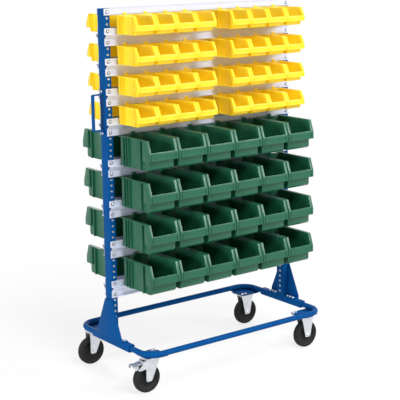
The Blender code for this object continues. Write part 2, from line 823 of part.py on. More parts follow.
def swivel_plate_mesh():
    """The top plate with its ball race, the kingpin and the nut that holds the fork."""
    half_length, half_width = CASTER_PLATE_LENGTH / 2, CASTER_PLATE_WIDTH / 2
    plate = box(
        (-half_length, half_length), (-half_width, half_width), (CASTER_PLATE_BOTTOM, CASTER_PLATE_TOP)
    )
    nut_top = CROWN_BOTTOM - SEAT_GAP
    nut_bottom = nut_top - KINGPIN_NUT_HEIGHT
    pin = turned(
        [
            (0, nut_bottom),
            (KINGPIN_NUT_RADIUS, nut_bottom),
            (KINGPIN_NUT_RADIUS, nut_top),
            (KINGPIN_RADIUS, nut_top),
            (KINGPIN_RADIUS, RACE_BOTTOM),
            (RACE_RADIUS, RACE_BOTTOM),
            (RACE_RADIUS, CASTER_PLATE_BOTTOM + WELD_OVERLAP),
            (0, CASTER_PLATE_BOTTOM + WELD_OVERLAP),
        ],
        ROUND_SIDES,
        False,
    )
    return smooth(united(plate, pin))


def crown_mesh(back):
    """The flat top of a swivel fork, round at its nose, with the hole for the kingpin."""
    outline = [(back, -FORK_OUTER_HALF), (0, -FORK_OUTER_HALF)]
    spread = math.asin(FORK_OUTER_HALF / CROWN_NOSE_RADIUS)
    for i in range(1, CORNER_STEPS):
        angle = -spread + 2 * spread * i / CORNER_STEPS
        outline.append((CROWN_NOSE_RADIUS * math.cos(angle), CROWN_NOSE_RADIUS * math.sin(angle)))
    outline += [(0, FORK_OUTER_HALF), (back, FORK_OUTER_HALF)]
    return prism(outline, CROWN_BOTTOM, CROWN_TOP, "Z")


def kingpin_hole():
    radius = (KINGPIN_RADIUS + BORE_CLEARANCE) / math.cos(math.pi / ROUND_SIDES)
    return cylinder(radius, CROWN_BOTTOM - CUT_OVERRUN, CROWN_TOP + CUT_OVERRUN, ROUND_SIDES)


def swivel_fork_mesh():
    axle_x = -SWIVEL_TRAIL
    back = axle_x - FORK_TOE_HALF
    legs = both_legs(leg_outline(axle_x, back, SWIVEL_LEG_FRONT, CROWN_TOP))
    fork = united(crown_mesh(back), *legs, axle_mesh(axle_x))
    return smooth(cut(fork, kingpin_hole()))


def braked_fork_mesh():
    """A swivel fork whose legs carry two cheeks and the pin of the brake pedal."""
    axle_x = -SWIVEL_TRAIL
    back = axle_x - FORK_TOE_HALF
    outline = leg_outline(axle_x, back, SWIVEL_LEG_FRONT, CROWN_TOP)
    tip_x = axle_x - BRAKE_CHEEK_SETBACK
    tip_height = CROWN_BOTTOM - BRAKE_CHEEK_TIP_DROP
    cheek = [
        (tip_x, tip_height),
        (tip_x + BRAKE_CHEEK_TIP_DEPTH, tip_height - BRAKE_CHEEK_TIP_DEPTH / 2),
        (back, CROWN_BOTTOM - BRAKE_CHEEK_ROOT_DROP),
    ]
    legs = both_legs(outline[:1] + cheek + outline[1:])
    radius = BRAKE_PIN_DIAMETER / 2
    pin = along_y(
        cylinder(radius, -FORK_OUTER_HALF, FORK_OUTER_HALF, PIN_SIDES), -BRAKE_PIVOT_X, BRAKE_PIVOT_HEIGHT
    )
    fork = united(crown_mesh(back), *legs, axle_mesh(axle_x), pin)
    return smooth(cut(fork, kingpin_hole()))


def pedal_mesh():
    """The brake pedal, made about its pivot: a hub, an arm and a wider tread plate."""
    half = FORK_INNER_HALF - PEDAL_SIDE_GAP
    hub = along_y(cylinder(PEDAL_HUB_RADIUS, -half, half, PIN_SIDES), 0, 0)
    arm_end = -PEDAL_REACH + PEDAL_TREAD_LENGTH
    arm_drop = PEDAL_DROP * arm_end / PEDAL_REACH
    arm = prism(
        [
            (0, PEDAL_THICKNESS),
            (arm_end - WELD_OVERLAP, arm_drop + PEDAL_THICKNESS),
            (arm_end - WELD_OVERLAP, arm_drop),
            (0, 0),
        ],
        -half,
        half,
        "Y",
    )
    wide = FORK_OUTER_HALF + PEDAL_TREAD_OVERHANG
    tread = prism(
        [
            (arm_end, arm_drop + PEDAL_THICKNESS),
            (-PEDAL_REACH, -PEDAL_DROP + PEDAL_THICKNESS),
            (-PEDAL_REACH, -PEDAL_DROP),
            (arm_end, arm_drop),
        ],
        -wide,
        wide,
        "Y",
    )
    bore_radius = (BRAKE_PIN_DIAMETER / 2 + BORE_CLEARANCE) / math.cos(math.pi / PIN_SIDES)
    bore = along_y(cylinder(bore_radius, -half - CUT_OVERRUN, half + CUT_OVERRUN, PIN_SIDES), 0, 0)
    return smooth(combined(hub, ("UNION", arm), ("UNION", tread), ("DIFFERENCE", bore)))


def fixed_fork_mesh():
    """A fixed caster's fork: a top plate, two flared legs and the axle."""
    half_length, half_width = CASTER_PLATE_LENGTH / 2, CASTER_PLATE_WIDTH / 2
    plate = box(
        (-half_length, half_length), (-half_width, half_width), (CASTER_PLATE_BOTTOM, CASTER_PLATE_TOP)
    )
    top = CASTER_PLATE_BOTTOM + WELD_OVERLAP
    legs = both_legs(leg_outline(0, -FIXED_LEG_TOP_HALF, FIXED_LEG_TOP_HALF, top))
    return smooth(united(plate, *legs, axle_mesh(0)))


def add_casters(steel, rubber):
    wheel, plate, fixed = wheel_mesh(), swivel_plate_mesh(), fixed_fork_mesh()
    forks = {"front": braked_fork_mesh(), "rear": swivel_fork_mesh()}
    for side, y in (("front", -CASTER_Y), ("rear", CASTER_Y)):
        add_object(f"caster_plate_{side}_left", plate, steel, (-CASTER_X, y, 0))
        add_object(f"fork_{side}_left", forks[side], steel, (-CASTER_X, y, 0))
        add_object(f"wheel_{side}_left", wheel, rubber, (-CASTER_X - SWIVEL_TRAIL, y, WHEEL_RADIUS))
        add_object(f"fork_{side}_right", fixed, steel, (CASTER_X, y, 0))
        add_object(f"wheel_{side}_right", wheel, rubber, (CASTER_X, y, WHEEL_RADIUS))
    pivot = (-CASTER_X - BRAKE_PIVOT_X, -CASTER_Y, BRAKE_PIVOT_HEIGHT)
    add_object("brake_pedal", pedal_mesh(), steel, pivot)


def main():
    clear_scene()
    blue, steel = blue_paint(), galvanised_steel()
    add_uprights(blue)
    add_rails(steel)
    add_bins(yellow_plastic(), green_plastic())
    add_base(blue)
    add_handle(blue)
    add_casters(steel, black_rubber())


main()
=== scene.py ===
"""The looks of a double-sided mobile rack for storage bins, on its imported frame.

X runs along the rack, with the push handle at -X. The front side faces -Y and Z is up. Sizes are in metres.
"""

import math

import bmesh
import bpy
from mathutils import Matrix, Vector


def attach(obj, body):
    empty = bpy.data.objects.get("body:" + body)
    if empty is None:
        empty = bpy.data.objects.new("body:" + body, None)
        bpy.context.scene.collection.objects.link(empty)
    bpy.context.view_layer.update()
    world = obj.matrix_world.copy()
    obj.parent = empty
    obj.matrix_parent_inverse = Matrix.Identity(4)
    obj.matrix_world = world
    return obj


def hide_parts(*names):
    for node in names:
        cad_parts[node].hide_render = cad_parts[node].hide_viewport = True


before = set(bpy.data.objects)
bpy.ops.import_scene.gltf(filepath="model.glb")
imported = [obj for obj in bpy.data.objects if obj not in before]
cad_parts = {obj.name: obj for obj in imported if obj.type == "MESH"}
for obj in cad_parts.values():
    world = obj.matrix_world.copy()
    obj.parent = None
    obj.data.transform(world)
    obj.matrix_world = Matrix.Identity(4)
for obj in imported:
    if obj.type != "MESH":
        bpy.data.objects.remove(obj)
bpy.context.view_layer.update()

# Clearances, facets and edges
SEAT_GAP = 0.0003
CUT_OVERRUN = 0.004
WELD_OVERLAP = 0.001
SMOOTH_ANGLE = math.radians(38)
FINE_EDGE = 0.0005
SHEET_EDGE = 0.0004
BIN_EDGE = 0.0007
ROUND_SIDES = 32
HOLE_SIDES = 12
FASTENER_SIDES = 20
HEX_SIDES = 6
BEND_STEPS = 10
CORNER_STEPS = 4
TOE_STEPS = 5
SOFT_SEGMENTS = 2
SOFT_ANGLE = math.radians(30)
QUARTER_TURN = math.radians(90)

# The whole rack
MIDDLE_X = 0.024
RACK_HEIGHT = 1.600
RAIL_LENGTH = 1.000
SIDES = (("front", -1, 0), ("rear", 1, math.pi))
ENDS = (("left", -1, 0), ("right", 1, math.pi))

# Uprights
UPRIGHT_WIDTH = 0.030
UPRIGHT_DEPTH = 0.050
UPRIGHT_WALL = 0.002
UPRIGHT_CORNER = 0.003
UPRIGHT_BOTTOM = 0.1926
UPRIGHT_X = 0.485
HOLE_DIAMETER = 0.0085
HOLE_PITCH = 0.025
FIRST_HOLE_DROP = 0.014
INSERT_RADIUS = 0.0050
INSERT_BORE = 0.0024
INSERT_HEIGHT = 0.0008

# Rails
RAIL_SHEET = 0.0015
RAIL_FLANGE_HEIGHT = 0.025
RAIL_LEDGE_DEPTH = 0.020
RAIL_SLANT_DROP = 0.020
RAIL_BAND_HEIGHT = 0.028
RAIL_LIP_GAP = 0.0035
RAIL_LIP_HEIGHT = 0.006
RAIL_FOLD_RADIUS = 0.0016
FOLD_STEPS = 3
SCREW_RADIUS = 0.0050
SCREW_HEIGHT = 0.0028
WASHER_RADIUS = 0.0075
WASHER_HEIGHT = 0.0012
SOCKET_RADIUS = 0.0024
SOCKET_DEPTH = 0.0018
WASHER_PROFILE = ((0, 0), (1, 0), (1, 0.7), (0.93, 1), (0, 1))
SCREW_HEAD_PROFILE = ((1, 0.45), (0.80, 0.85), (0.55, 1), (0, 1))

# Rows of bins
YELLOW_ROWS = 4
YELLOW_GROUP_COUNT = 4
YELLOW_GROUP_GAP = 0.087
YELLOW_SPACING = 0.001
YELLOW_CLEAR_HEIGHT = 0.077
GREEN_ROWS = 4
GREEN_ROW_COUNT = 6
GREEN_SPACING = 0.0015
GREEN_CLEAR_HEIGHT = 0.127

# Sizes of the small yellow bins and of the large green ones
BIN_SIZES = {
    "length": (0.160, 0.224),
    "width": (0.1015, 0.149),
    "height": (0.077, 0.126),
    "lip_height": (0.037, 0.070),
    "slope_run": (0.020, 0.019),
    "step_height": (0.017, 0.042),
    "step_depth": (0.0165, 0.0195),
    "toe": (0.005, 0.008),
    "wall": (0.002, 0.0025),
    "rim_width": (0.010, 0.012),
    "rim_thickness": (0.0022, 0.0032),
    "ear_length": (0.025, 0.046),
    "skirt_height": (0.0025, 0.0035),
    "skirt_reach": (0.0012, 0.0016),
    "ear_inset": (0.0006, 0.0012),
    "rib_width": (0.0036, 0.0055),
    "rib_reach": (0.0070, 0.0105),
    "rib_places": ((0.020, 0.034, 0.048), (0.030, 0.048, 0.066)),
    "post_place": (0.122, 0.153),
    "post_reach": (0.0075, 0.0105),
    "field_margin": (0.0030, 0.0040),
    "field_depth": (0.0008, 0.0010),
    "slot_width": (0.0016, 0.0030),
    "clear_height": (YELLOW_CLEAR_HEIGHT, GREEN_CLEAR_HEIGHT),
}
YELLOW, GREEN = ({name: pair[i] for name, pair in BIN_SIZES.items()} for i in (0, 1))

# Hooks of the bins
HOOK_THICKNESS = 0.002
HOOK_DEPTH = 0.004
HOOK_SETBACK = 0.0002
HOOK_ROOT = 0.006
HOOK_WIDTH_SHARE = 0.18

# Tube base
TUBE_DIAMETER = 0.025
TUBE_WALL = 0.002
TUBE_AXIS_HEIGHT = 0.174
BASE_HALF_DEPTH = 0.276
TUBE_BEND_RADIUS = 0.070
TUBE_JOINT_GAP = 0.002
CORNER_PLATE_THICKNESS = 0.004
CORNER_PLATE_LENGTH = 0.110
CORNER_PLATE_DEPTH = 0.115
CORNER_PLATE_BOTTOM = 0.1575

# Feet
SLEEVE_LENGTH = 0.290
SLEEVE_WALL = 0.0025
SLEEVE_EDGE = 0.003
FOOT_FLANGE_THICKNESS = 0.003
FOOT_PLATE_THICKNESS = 0.004
FOOT_PLATE_HEIGHT = 0.168
FOOT_PLATE_BASE_HALF = 0.097
FOOT_PLATE_FOOT_HEIGHT = 0.010
PLATE_EDGE = 0.0012
BOLT_RADIUS = 0.0052
BOLT_HEIGHT = 0.0045
BOLT_CLEAR_SHARE = 1.1
BOLT_TURNED_SHARE = 0.86
BOLT_TURNED_DROP = 0.35
FOOT_BOLT_X = 0.004
FOOT_BOLTS = (0.044, 0.063, 0.082)

# Push handle
HANDLE_BAR_WIDTH = 0.020
HANDLE_BAR_THICKNESS = 0.005
HANDLE_REACH = 0.047
HANDLE_HEIGHT = 0.156
HANDLE_TAB_LENGTH = 0.020
HANDLE_BEND_RADIUS = 0.008
HANDLE_CENTRE_HEIGHT = 1.171

# Casters
CASTER_X = 0.4315
CASTER_Y = 0.221
WHEEL_RADIUS = 0.0625
TYRE_WIDTH = 0.032
TREAD_FLAT_WIDTH = 0.014
TYRE_SHOULDER_DROP = 0.003
TYRE_SIDE_DROP = 0.010
TYRE_INNER_RADIUS = 0.041
TYRE_RIDGES = 5
RIDGE_SHARE = 0.22
RIDGE_DEPTH = 0.0006
WHEEL_SIDES = 64
WHEEL_DISC_WIDTH = 0.014
HUB_RADIUS = 0.015
HUB_WIDTH = 0.036
AXLE_DIAMETER = 0.008
BORE_CLEARANCE = 0.0004
SWIVEL_TRAIL = 0.033
CASTER_PLATE_LENGTH = 0.105
CASTER_PLATE_WIDTH = 0.080
CASTER_PLATE_THICKNESS = 0.003
CASTER_PLATE_TOP = 0.1572
CASTER_PLATE_CORNER = 0.008
RACE_RADIUS = 0.027
RACE_HEIGHT = 0.006
CROWN_TOP = 0.1479
CROWN_BOTTOM = 0.1449
CROWN_NOSE_RADIUS = 0.030
KINGPIN_RADIUS = 0.006
KINGPIN_NUT_RADIUS = 0.010
KINGPIN_NUT_HEIGHT = 0.005
FORK_INNER_HALF = 0.019
FORK_OUTER_HALF = 0.0215
FORK_TOE_HALF = 0.014
FORK_TOE_DROP = 0.011
FORK_TOE_ROUND = 0.62
SWIVEL_LEG_FRONT = 0.024
FIXED_LEG_TOP_HALF = 0.036
AXLE_HEAD_RADIUS = 0.007
AXLE_HEAD_HEIGHT = 0.005
CASTER_BOLTS = ((0.040, 0.033), (0.024, 0.036))

# Brake
BRAKE_PIVOT_X = 0.054
BRAKE_PIVOT_HEIGHT = 0.1365
BRAKE_PIN_DIAMETER = 0.005
BRAKE_CHEEK_REACH = 0.087
BRAKE_CHEEK_TIP_HEIGHT = 0.111
BRAKE_CHEEK_TIP_DEPTH = 0.010
BRAKE_CHEEK_ROOT_HEIGHT = 0.109
PEDAL_HUB_RADIUS = 0.006
PEDAL_SIDE_GAP = 0.001
PEDAL_THICKNESS = 0.003
PEDAL_REACH = 0.052
PEDAL_DROP = 0.010
PEDAL_TREAD_LENGTH = 0.018
PEDAL_TREAD_OVERHANG = 0.004
PEDAL_SIDE_DEPTH = 0.012
PEDAL_SIDE_THICKNESS = 0.002

# Tones of the galvanised sheet, and the painted shade that darkens the top rails, which catch more lamp
# light than the ledges under the bins
GALVANISED_TONES = ((0.60, 0.64, 0.78), (0.68, 0.72, 0.87), (0.76, 0.80, 0.94))
TOP_RAIL_PAINTED_SHADE = 0.82

# Light that passes through the thin walls of the small bins, as subsurface scattering, with a painted glow
# of emission added to it
GLOW_RADIUS = (1.0, 0.6, 0.05)
GLOW_DEPTH = 0.010
PAINTED_GLOW_COLOUR = (1.0, 0.68, 0.0, 1.0)
PAINTED_GLOW_STRENGTH = 0.22

# The view and the light
CAMERA_PLACE = (-3.0306, -4.0696, 1.8478)
CAMERA_HEADING = math.radians(36.887)
CAMERA_PITCH = math.radians(-10.862)
CAMERA_ROLL = math.radians(-0.838)
CAMERA_LENS_MM = 104.33
CAMERA_SENSOR_MM = 36.0
CAMERA_SHIFT_Y = -0.08
FLOOR_RADIUS = 90.0
FLOOR_SIDES = 64
FLOOR_WHITE_NEAR = 0.75
FLOOR_WHITE_START = 0.8
FLOOR_WHITE_END = 2.6
WORLD_STRENGTH = 0.15
LAMP_TARGET = (0, 0, 0.8)
LAMPS = {
    "front_lamp": ((-0.7, -4.2, 5.2), 2.4, 270),
    "right_front_lamp": ((3.3, -4.1, 3.3), 1.8, 150),
    "left_lamp": ((-5.0, -0.8, 1.4), 1.8, 135),
    "right_lamp": ((4.6, 0.6, 2.2), 2.4, 70),
    "back_lamp": ((1.2, 4.4, 3.6), 2.6, 130),
}

# Places that follow from the sizes
FACE_Y = UPRIGHT_DEPTH / 2
SLEEVE_INNER = TUBE_DIAMETER + 2 * SEAT_GAP
SLEEVE_OUTER = SLEEVE_INNER + 2 * SLEEVE_WALL
SLEEVE_TOP = TUBE_AXIS_HEIGHT + SLEEVE_OUTER / 2
FOOT_FLANGE_TOP = SLEEVE_TOP + FOOT_FLANGE_THICKNESS
RAIL_BACK = SEAT_GAP
RAIL_DROP = RAIL_SLANT_DROP + RAIL_BAND_HEIGHT
LIP_OUTER = RAIL_BACK + RAIL_SHEET + RAIL_LIP_GAP + RAIL_SHEET
LIP_TOP = RAIL_SHEET + RAIL_LIP_HEIGHT
BIN_BACK = LIP_OUTER + SEAT_GAP
CORNER_PLATE_TOP = CORNER_PLATE_BOTTOM + CORNER_PLATE_THICKNESS + WELD_OVERLAP
CASTER_PLATE_BOTTOM = CASTER_PLATE_TOP - CASTER_PLATE_THICKNESS
RACE_BOTTOM = CASTER_PLATE_BOTTOM - RACE_HEIGHT
HANDLE_OVERHANG = HANDLE_REACH + HANDLE_BAR_THICKNESS


def ledge_heights():
    """The ledge height of each rail below the top one, from the top down."""
    height = RACK_HEIGHT - RAIL_BAND_HEIGHT
    heights = []
    for clear in [YELLOW_CLEAR_HEIGHT] * YELLOW_ROWS + [GREEN_CLEAR_HEIGHT] * GREEN_ROWS:
        height -= clear
        heights.append(height)
        height -= RAIL_DROP
    return heights


# Materials
class Paint:
    """A Principled material with its node tree at hand."""

    def __init__(self, name, colour, roughness, metallic=0.0):
        self.material = bpy.data.materials.new(name)
        self.material.use_nodes = True
        self.tree = self.material.node_tree
        self.shader = self.tree.nodes["Principled BSDF"]
        self.constant("Base Color", (*colour, 1))
        self.constant("Roughness", roughness)
        self.constant("Metallic", metallic)
        self.place = self.node("ShaderNodeTexCoord").outputs["Object"]

    def constant(self, name, value):
        self.shader.inputs[name].default_value = value

    def join(self, start, end):
        self.tree.links.new(start, end)

    def node(self, kind, constants=(), **joined):
        """A node with its constant inputs set and its other inputs joined to outputs."""
        made = self.tree.nodes.new(kind)
        for name, value in dict(constants).items():
            made.inputs[name].default_value = value
        for name, output in joined.items():
            self.join(output, made.inputs[name])
        return made

    def stretched(self, scale):
        return self.node("ShaderNodeMapping", {"Scale": scale}, Vector=self.place).outputs["Vector"]

    def noise(self, scale, detail=3.0, roughness=0.5, vector=None):
        constants = {"Scale": scale, "Detail": detail, "Roughness": roughness}
        return self.node("ShaderNodeTexNoise", constants, Vector=vector or self.place).outputs["Fac"]

    def cells(self, scale):
        return self.node("ShaderNodeTexVoronoi", {"Scale": scale}, Vector=self.place).outputs["Color"]

    def ramp(self, factor, stops):
        node = self.node("ShaderNodeValToRGB", Fac=factor)
        elements = node.color_ramp.elements
        while len(elements) < len(stops):
            elements.new(0.5)
        for element, (position, colour) in zip(elements, stops):
            element.position = position
            element.color = (*colour, 1)
        return node.outputs["Color"]

    def spread(self, factor, low, high, start=0.0, end=1.0):
        """A factor that runs from start to end mapped to a range."""
        constants = {"From Min": start, "From Max": end, "To Min": low, "To Max": high}
        return self.node("ShaderNodeMapRange", constants, Value=factor).outputs["Result"]

    def mixed(self, factor, first, second):
        node = self.node("ShaderNodeMix")
        node.data_type = "RGBA"
        self.join(factor, node.inputs["Factor"])
        self.join(first, node.inputs["A"])
        self.join(second, node.inputs["B"])
        return node.outputs["Result"]

    def bump(self, height, strength, distance):
        node = self.node("ShaderNodeBump", {"Strength": strength, "Distance": distance}, Height=height)
        normal = self.shader.inputs["Normal"]
        if normal.links:
            self.join(normal.links[0].from_socket, node.inputs["Normal"])
        self.join(node.outputs["Normal"], normal)

    def colour(self, output):
        self.join(output, self.shader.inputs["Base Color"])

    def roughness(self, output):
        self.join(output, self.shader.inputs["Roughness"])


def powder_coat():
    """Blue powder coat with its fine orange peel and a little handling wear in the gloss."""
    paint = Paint("blue_powder_coat", (0.002, 0.073, 0.260), 0.42)
    broad = paint.noise(9.0, 4.0)
    stops = [(0.25, (0.002, 0.064, 0.235)), (0.6, (0.002, 0.074, 0.262)), (0.85, (0.004, 0.084, 0.285))]
    paint.colour(paint.ramp(broad, stops))
    paint.roughness(paint.spread(paint.noise(38.0, 5.0), 0.32, 0.50))
    paint.bump(paint.noise(900.0, 2.0), 0.10, 0.0004)
    paint.constant("Specular IOR Level", 0.03)
    return paint.material


def galvanised(name, shade):
    """Galvanised sheet: cold spangles, and streaks along the sheet. A shade under 1 darkens it, as painted
    shade.
    """
    dull, plain, bright = [tuple(shade * part for part in tone) for tone in GALVANISED_TONES]
    paint = Paint(name, plain, 0.55, 0.25)
    spangle = paint.cells(95.0)
    streaks = paint.noise(14.0, 6.0, 0.6, paint.stretched((0.6, 40.0, 40.0)))
    grey = paint.ramp(spangle, [(0.0, dull), (0.5, plain), (1.0, bright)])
    worn = paint.ramp(streaks, [(0.3, dull), (0.7, bright)])
    half = paint.noise(5.0, 2.0)
    paint.colour(paint.mixed(half, grey, worn))
    paint.roughness(paint.spread(spangle, 0.50, 0.64))
    paint.bump(streaks, 0.08, 0.0004)
    paint.bump(spangle, 0.03, 0.0004)
    return paint.material


def zinc():
    """Bright zinc plate of the casters and fasteners, with faint cloudy patches."""
    paint = Paint("zinc_plate", (0.68, 0.70, 0.73), 0.32, 0.85)
    clouds = paint.noise(45.0, 5.0)
    stops = [(0.25, (0.54, 0.57, 0.61)), (0.55, (0.68, 0.70, 0.73)), (0.85, (0.77, 0.78, 0.79))]
    paint.colour(paint.ramp(clouds, stops))
    paint.roughness(paint.spread(paint.noise(120.0, 4.0), 0.20, 0.42))
    paint.bump(paint.noise(400.0, 3.0), 0.06, 0.0003)
    return paint.material


def plastic(name, dark, plain, light, roughness, glow=0.0):
    """Moulded plastic with a fine grain, soft flow marks and an uneven sheen. Glow sets the light let
    through its walls and a painted glow of emission from them.
    """
    paint = Paint(name, plain, roughness)
    flow = paint.noise(11.0, 4.0, 0.55, paint.stretched((1.0, 1.0, 0.45)))
    paint.colour(paint.ramp(flow, [(0.2, dark), (0.5, plain), (0.85, light)]))
    paint.roughness(paint.spread(paint.noise(60.0, 5.0), roughness - 0.07, roughness + 0.09))
    paint.bump(paint.noise(1500.0, 2.0), 0.16, 0.0003)
    paint.bump(paint.noise(24.0, 2.0), 0.05, 0.002)
    paint.constant("Specular IOR Level", 0.36)
    paint.constant("Subsurface Weight", glow)
    paint.constant("Subsurface Radius", GLOW_RADIUS)
    paint.constant("Subsurface Scale", GLOW_DEPTH)
    # Painted glow: emission that stands in for light let through the thin walls
    paint.constant("Emission Color", PAINTED_GLOW_COLOUR)
    paint.constant("Emission Strength", glow * PAINTED_GLOW_STRENGTH)
    return paint.material


def rubber():
    """Solid rubber tyre with floor dust in its grain."""
    paint = Paint("tyre_rubber", (0.012, 0.012, 0.0125), 0.62)
    dust = paint.noise(70.0, 6.0, 0.65)
    stops = [(0.3, (0.008, 0.008, 0.0085)), (0.65, (0.013, 0.013, 0.0135)), (0.95, (0.034, 0.033, 0.031))]
    paint.colour(paint.ramp(dust, stops))
    paint.roughness(paint.spread(paint.noise(150.0, 4.0), 0.52, 0.78))
    paint.bump(paint.noise(800.0, 3.0), 0.25, 0.0004)
    paint.constant("Specular IOR Level", 0.22)
    return paint.material


def painted_shadow_steel():
    """Near-black steel of the washers under the screw heads, dark as a painted shadow round each head."""
    paint = Paint("painted_shadow_steel", (0.030, 0.030, 0.034), 0.45, 0.6)
    stops = [(0.3, (0.018, 0.018, 0.02)), (0.7, (0.05, 0.05, 0.055))]
    paint.colour(paint.ramp(paint.noise(200.0, 4.0), stops))
    paint.bump(paint.noise(600.0, 2.0), 0.10, 0.0003)
    return paint.material


BLUE = powder_coat()
GALVANISED = galvanised("galvanised_sheet", 1.0)
# The top rails' copy of the sheet, darkened as painted shade
GALVANISED_TOP_PAINTED_SHADE = galvanised("galvanised_top_painted_shade", TOP_RAIL_PAINTED_SHADE)
ZINC = zinc()
# The small yellow bins get subsurface light and a painted glow through their walls
YELLOW_PLASTIC = plastic(
    "yellow_plastic_grain", (0.82, 0.56, 0.014), (0.86, 0.61, 0.022), (0.89, 0.66, 0.034), 0.34, 0.5
)
GREEN_PLASTIC = plastic(
    "green_plastic_grain", (0.008, 0.086, 0.044), (0.011, 0.106, 0.054), (0.016, 0.126, 0.067), 0.31
)
RUBBER = rubber()
# Near-black steel for the washers, dark as a painted shadow round the screw heads
PAINTED_SHADOW_STEEL = painted_shadow_steel()


# Mesh tools
def mesh_from(vertices, faces):
    mesh = bpy.data.meshes.new("shape")
    work = bmesh.new()
    made = [work.verts.new(vertex) for vertex in vertices]
    for face in faces:
        work.faces.new([made[index] for index in face])
    bmesh.ops.recalc_face_normals(work, faces=work.faces)
    work.to_mesh(mesh)
    work.free()
    return mesh


def prism(outline, start, end, axis):
    """An outline extruded along an axis. Its points are (y, z) for X, (x, z) for Y and (x, y) for Z."""
    place = {
        "X": lambda a, b, c: (c, a, b),
        "Y": lambda a, b, c: (a, c, b),
        "Z": lambda a, b, c: (a, b, c),
    }[axis]
    count = len(outline)
    vertices = [place(a, b, start) for a, b in outline] + [place(a, b, end) for a, b in outline]
    faces = [list(range(count)), list(range(2 * count - 1, count - 1, -1))]
    for i in range(count):
        j = (i + 1) % count
        faces.append([i, j, count + j, count + i])
    return mesh_from(vertices, faces)


def box(x_range, y_range, z_range):
    (x0, x1), (y0, y1), (z0, z1) = x_range, y_range, z_range
    return prism([(x0, y0), (x1, y0), (x1, y1), (x0, y1)], z0, z1, "Z")


def turned(profile, sides, closed, phase=0):
    """A profile of (radius, height) points turned about Z. An open profile starts and ends on the axis."""
    vertices, rings = [], []
    for radius, height in profile:
        if radius == 0:
            rings.append([len(vertices)] * sides)
            vertices.append((0, 0, height))
            continue
        rings.append(list(range(len(vertices), len(vertices) + sides)))
        for k in range(sides):
            angle = phase + 2 * math.pi * k / sides
            vertices.append((radius * math.cos(angle), radius * math.sin(angle), height))
    faces = []
    steps = len(rings) if closed else len(rings) - 1
    for i in range(steps):
        lower, upper = rings[i], rings[(i + 1) % len(rings)]
        for k in range(sides):
            m = (k + 1) % sides
            corners = [lower[k], lower[m], upper[m], upper[k]]
            faces.append(list(dict.fromkeys(corners)))
    return mesh_from(vertices, faces)


def cylinder(radius, start, end, sides, phase=0):
    return turned([(0, start), (radius, start), (radius, end), (0, end)], sides, False, phase)


def placed(mesh, matrix):
    mesh.transform(matrix)
    return mesh


def along_y(mesh, x, z):
    """A shape made about Z laid along Y, with its axis through this X and Z and its top towards -Y."""
    return placed(mesh, Matrix.Translation((x, 0, z)) @ Matrix.Rotation(QUARTER_TURN, 4, "X"))


def evaluated(base, helpers):
    graph = bpy.context.evaluated_depsgraph_get()
    mesh = bpy.data.meshes.new_from_object(base.evaluated_get(graph), depsgraph=graph)
    for helper in helpers:
        bpy.data.objects.remove(helper, do_unlink=True)
    return mesh


def linked(name, data):
    item = bpy.data.objects.new(name, data)
    bpy.context.scene.collection.objects.link(item)
    return item


def combined(first, *changes):
    """The first mesh with further meshes united with it or cut from it."""
    base = linked("base", first)
    helpers = [base]
    for operation, mesh in changes:
        helper = linked("helper", mesh)
        helpers.append(helper)
        modifier = base.modifiers.new(operation, "BOOLEAN")
        modifier.operation = operation
        modifier.solver = "EXACT"
        modifier.object = helper
    return evaluated(base, helpers)


def united(first, *others):
    return combined(first, *[("UNION", mesh) for mesh in others])


def cut(first, *cutters):
    return combined(first, *[("DIFFERENCE", mesh) for mesh in cutters])


def gathered(*meshes):
    """One mesh that holds several, without uniting them."""
    result = bpy.data.meshes.new("gathered")
    work = bmesh.new()
    for mesh in meshes:
        work.from_mesh(mesh)
    work.to_mesh(result)
    work.free()
    return result


def copies(mesh, offsets):
    """One mesh that holds a copy at each offset."""
    return gathered(*[placed(mesh.copy(), Matrix.Translation(offset)) for offset in offsets])


def smooth(mesh):
    mesh.shade_smooth()
    mesh.set_sharp_from_angle(angle=SMOOTH_ANGLE)
    return mesh


def softened(mesh, width):
    """A mesh with its edges rounded a little."""
    base = linked("base", mesh)
    modifier = base.modifiers.new("soft", "BEVEL")
    modifier.width = width
    modifier.segments = SOFT_SEGMENTS
    modifier.limit_method = "ANGLE"
    modifier.angle_limit = SOFT_ANGLE
    return smooth(evaluated(base, [base]))


def sheet_outline(path, thickness):
    """The outline of a bent sheet. Its visible face follows the path, with the metal on the path's right."""
    points = [Vector(point) for point in path]
    headings = [(b - a).normalized() for a, b in zip(points, points[1:])]
    sides = [Vector((heading.y, -heading.x)) for heading in headings]
    offset = []
    for i, point in enumerate(points):
        before = sides[max(i - 1, 0)]
        after = sides[min(i, len(sides) - 1)]
        mean = (before + after) / (1 + before.dot(after))
        offset.append(point + mean * thickness)
    return [tuple(point) for point in points + offset[::-1]]


def rounded_path(points, radius, steps):
    """A path of points whose inner corners are replaced with arcs."""
    corners = [Vector(point) for point in points]
    path = [tuple(corners[0])]
    for a, b, c in zip(corners, corners[1:], corners[2:]):
        arriving, leaving = (b - a).normalized(), (c - b).normalized()
        turn = arriving.angle(leaving)
        reach = radius * math.tan(turn / 2)
        start = b - arriving * reach
        side = Vector((-arriving.y, arriving.x))
        if side.dot(leaving) < 0:
            side = -side
        centre = start + side * radius
        for i in range(steps + 1):
            angle = turn * i / steps
            point = centre - side * radius * math.cos(angle) + arriving * radius * math.sin(angle)
            path.append(tuple(point))
    path.append(tuple(corners[-1]))
    return path


def rounded_rectangle(half_x, half_y, radius, steps):
    """A closed outline, started in the middle of one side."""
    low, high = (0, -half_y), (half_x, half_y)
    corners = [low, (half_x, -half_y), high, (-half_x, half_y), (-half_x, -half_y), low]
    return rounded_path(corners, radius, steps)[1:-1]


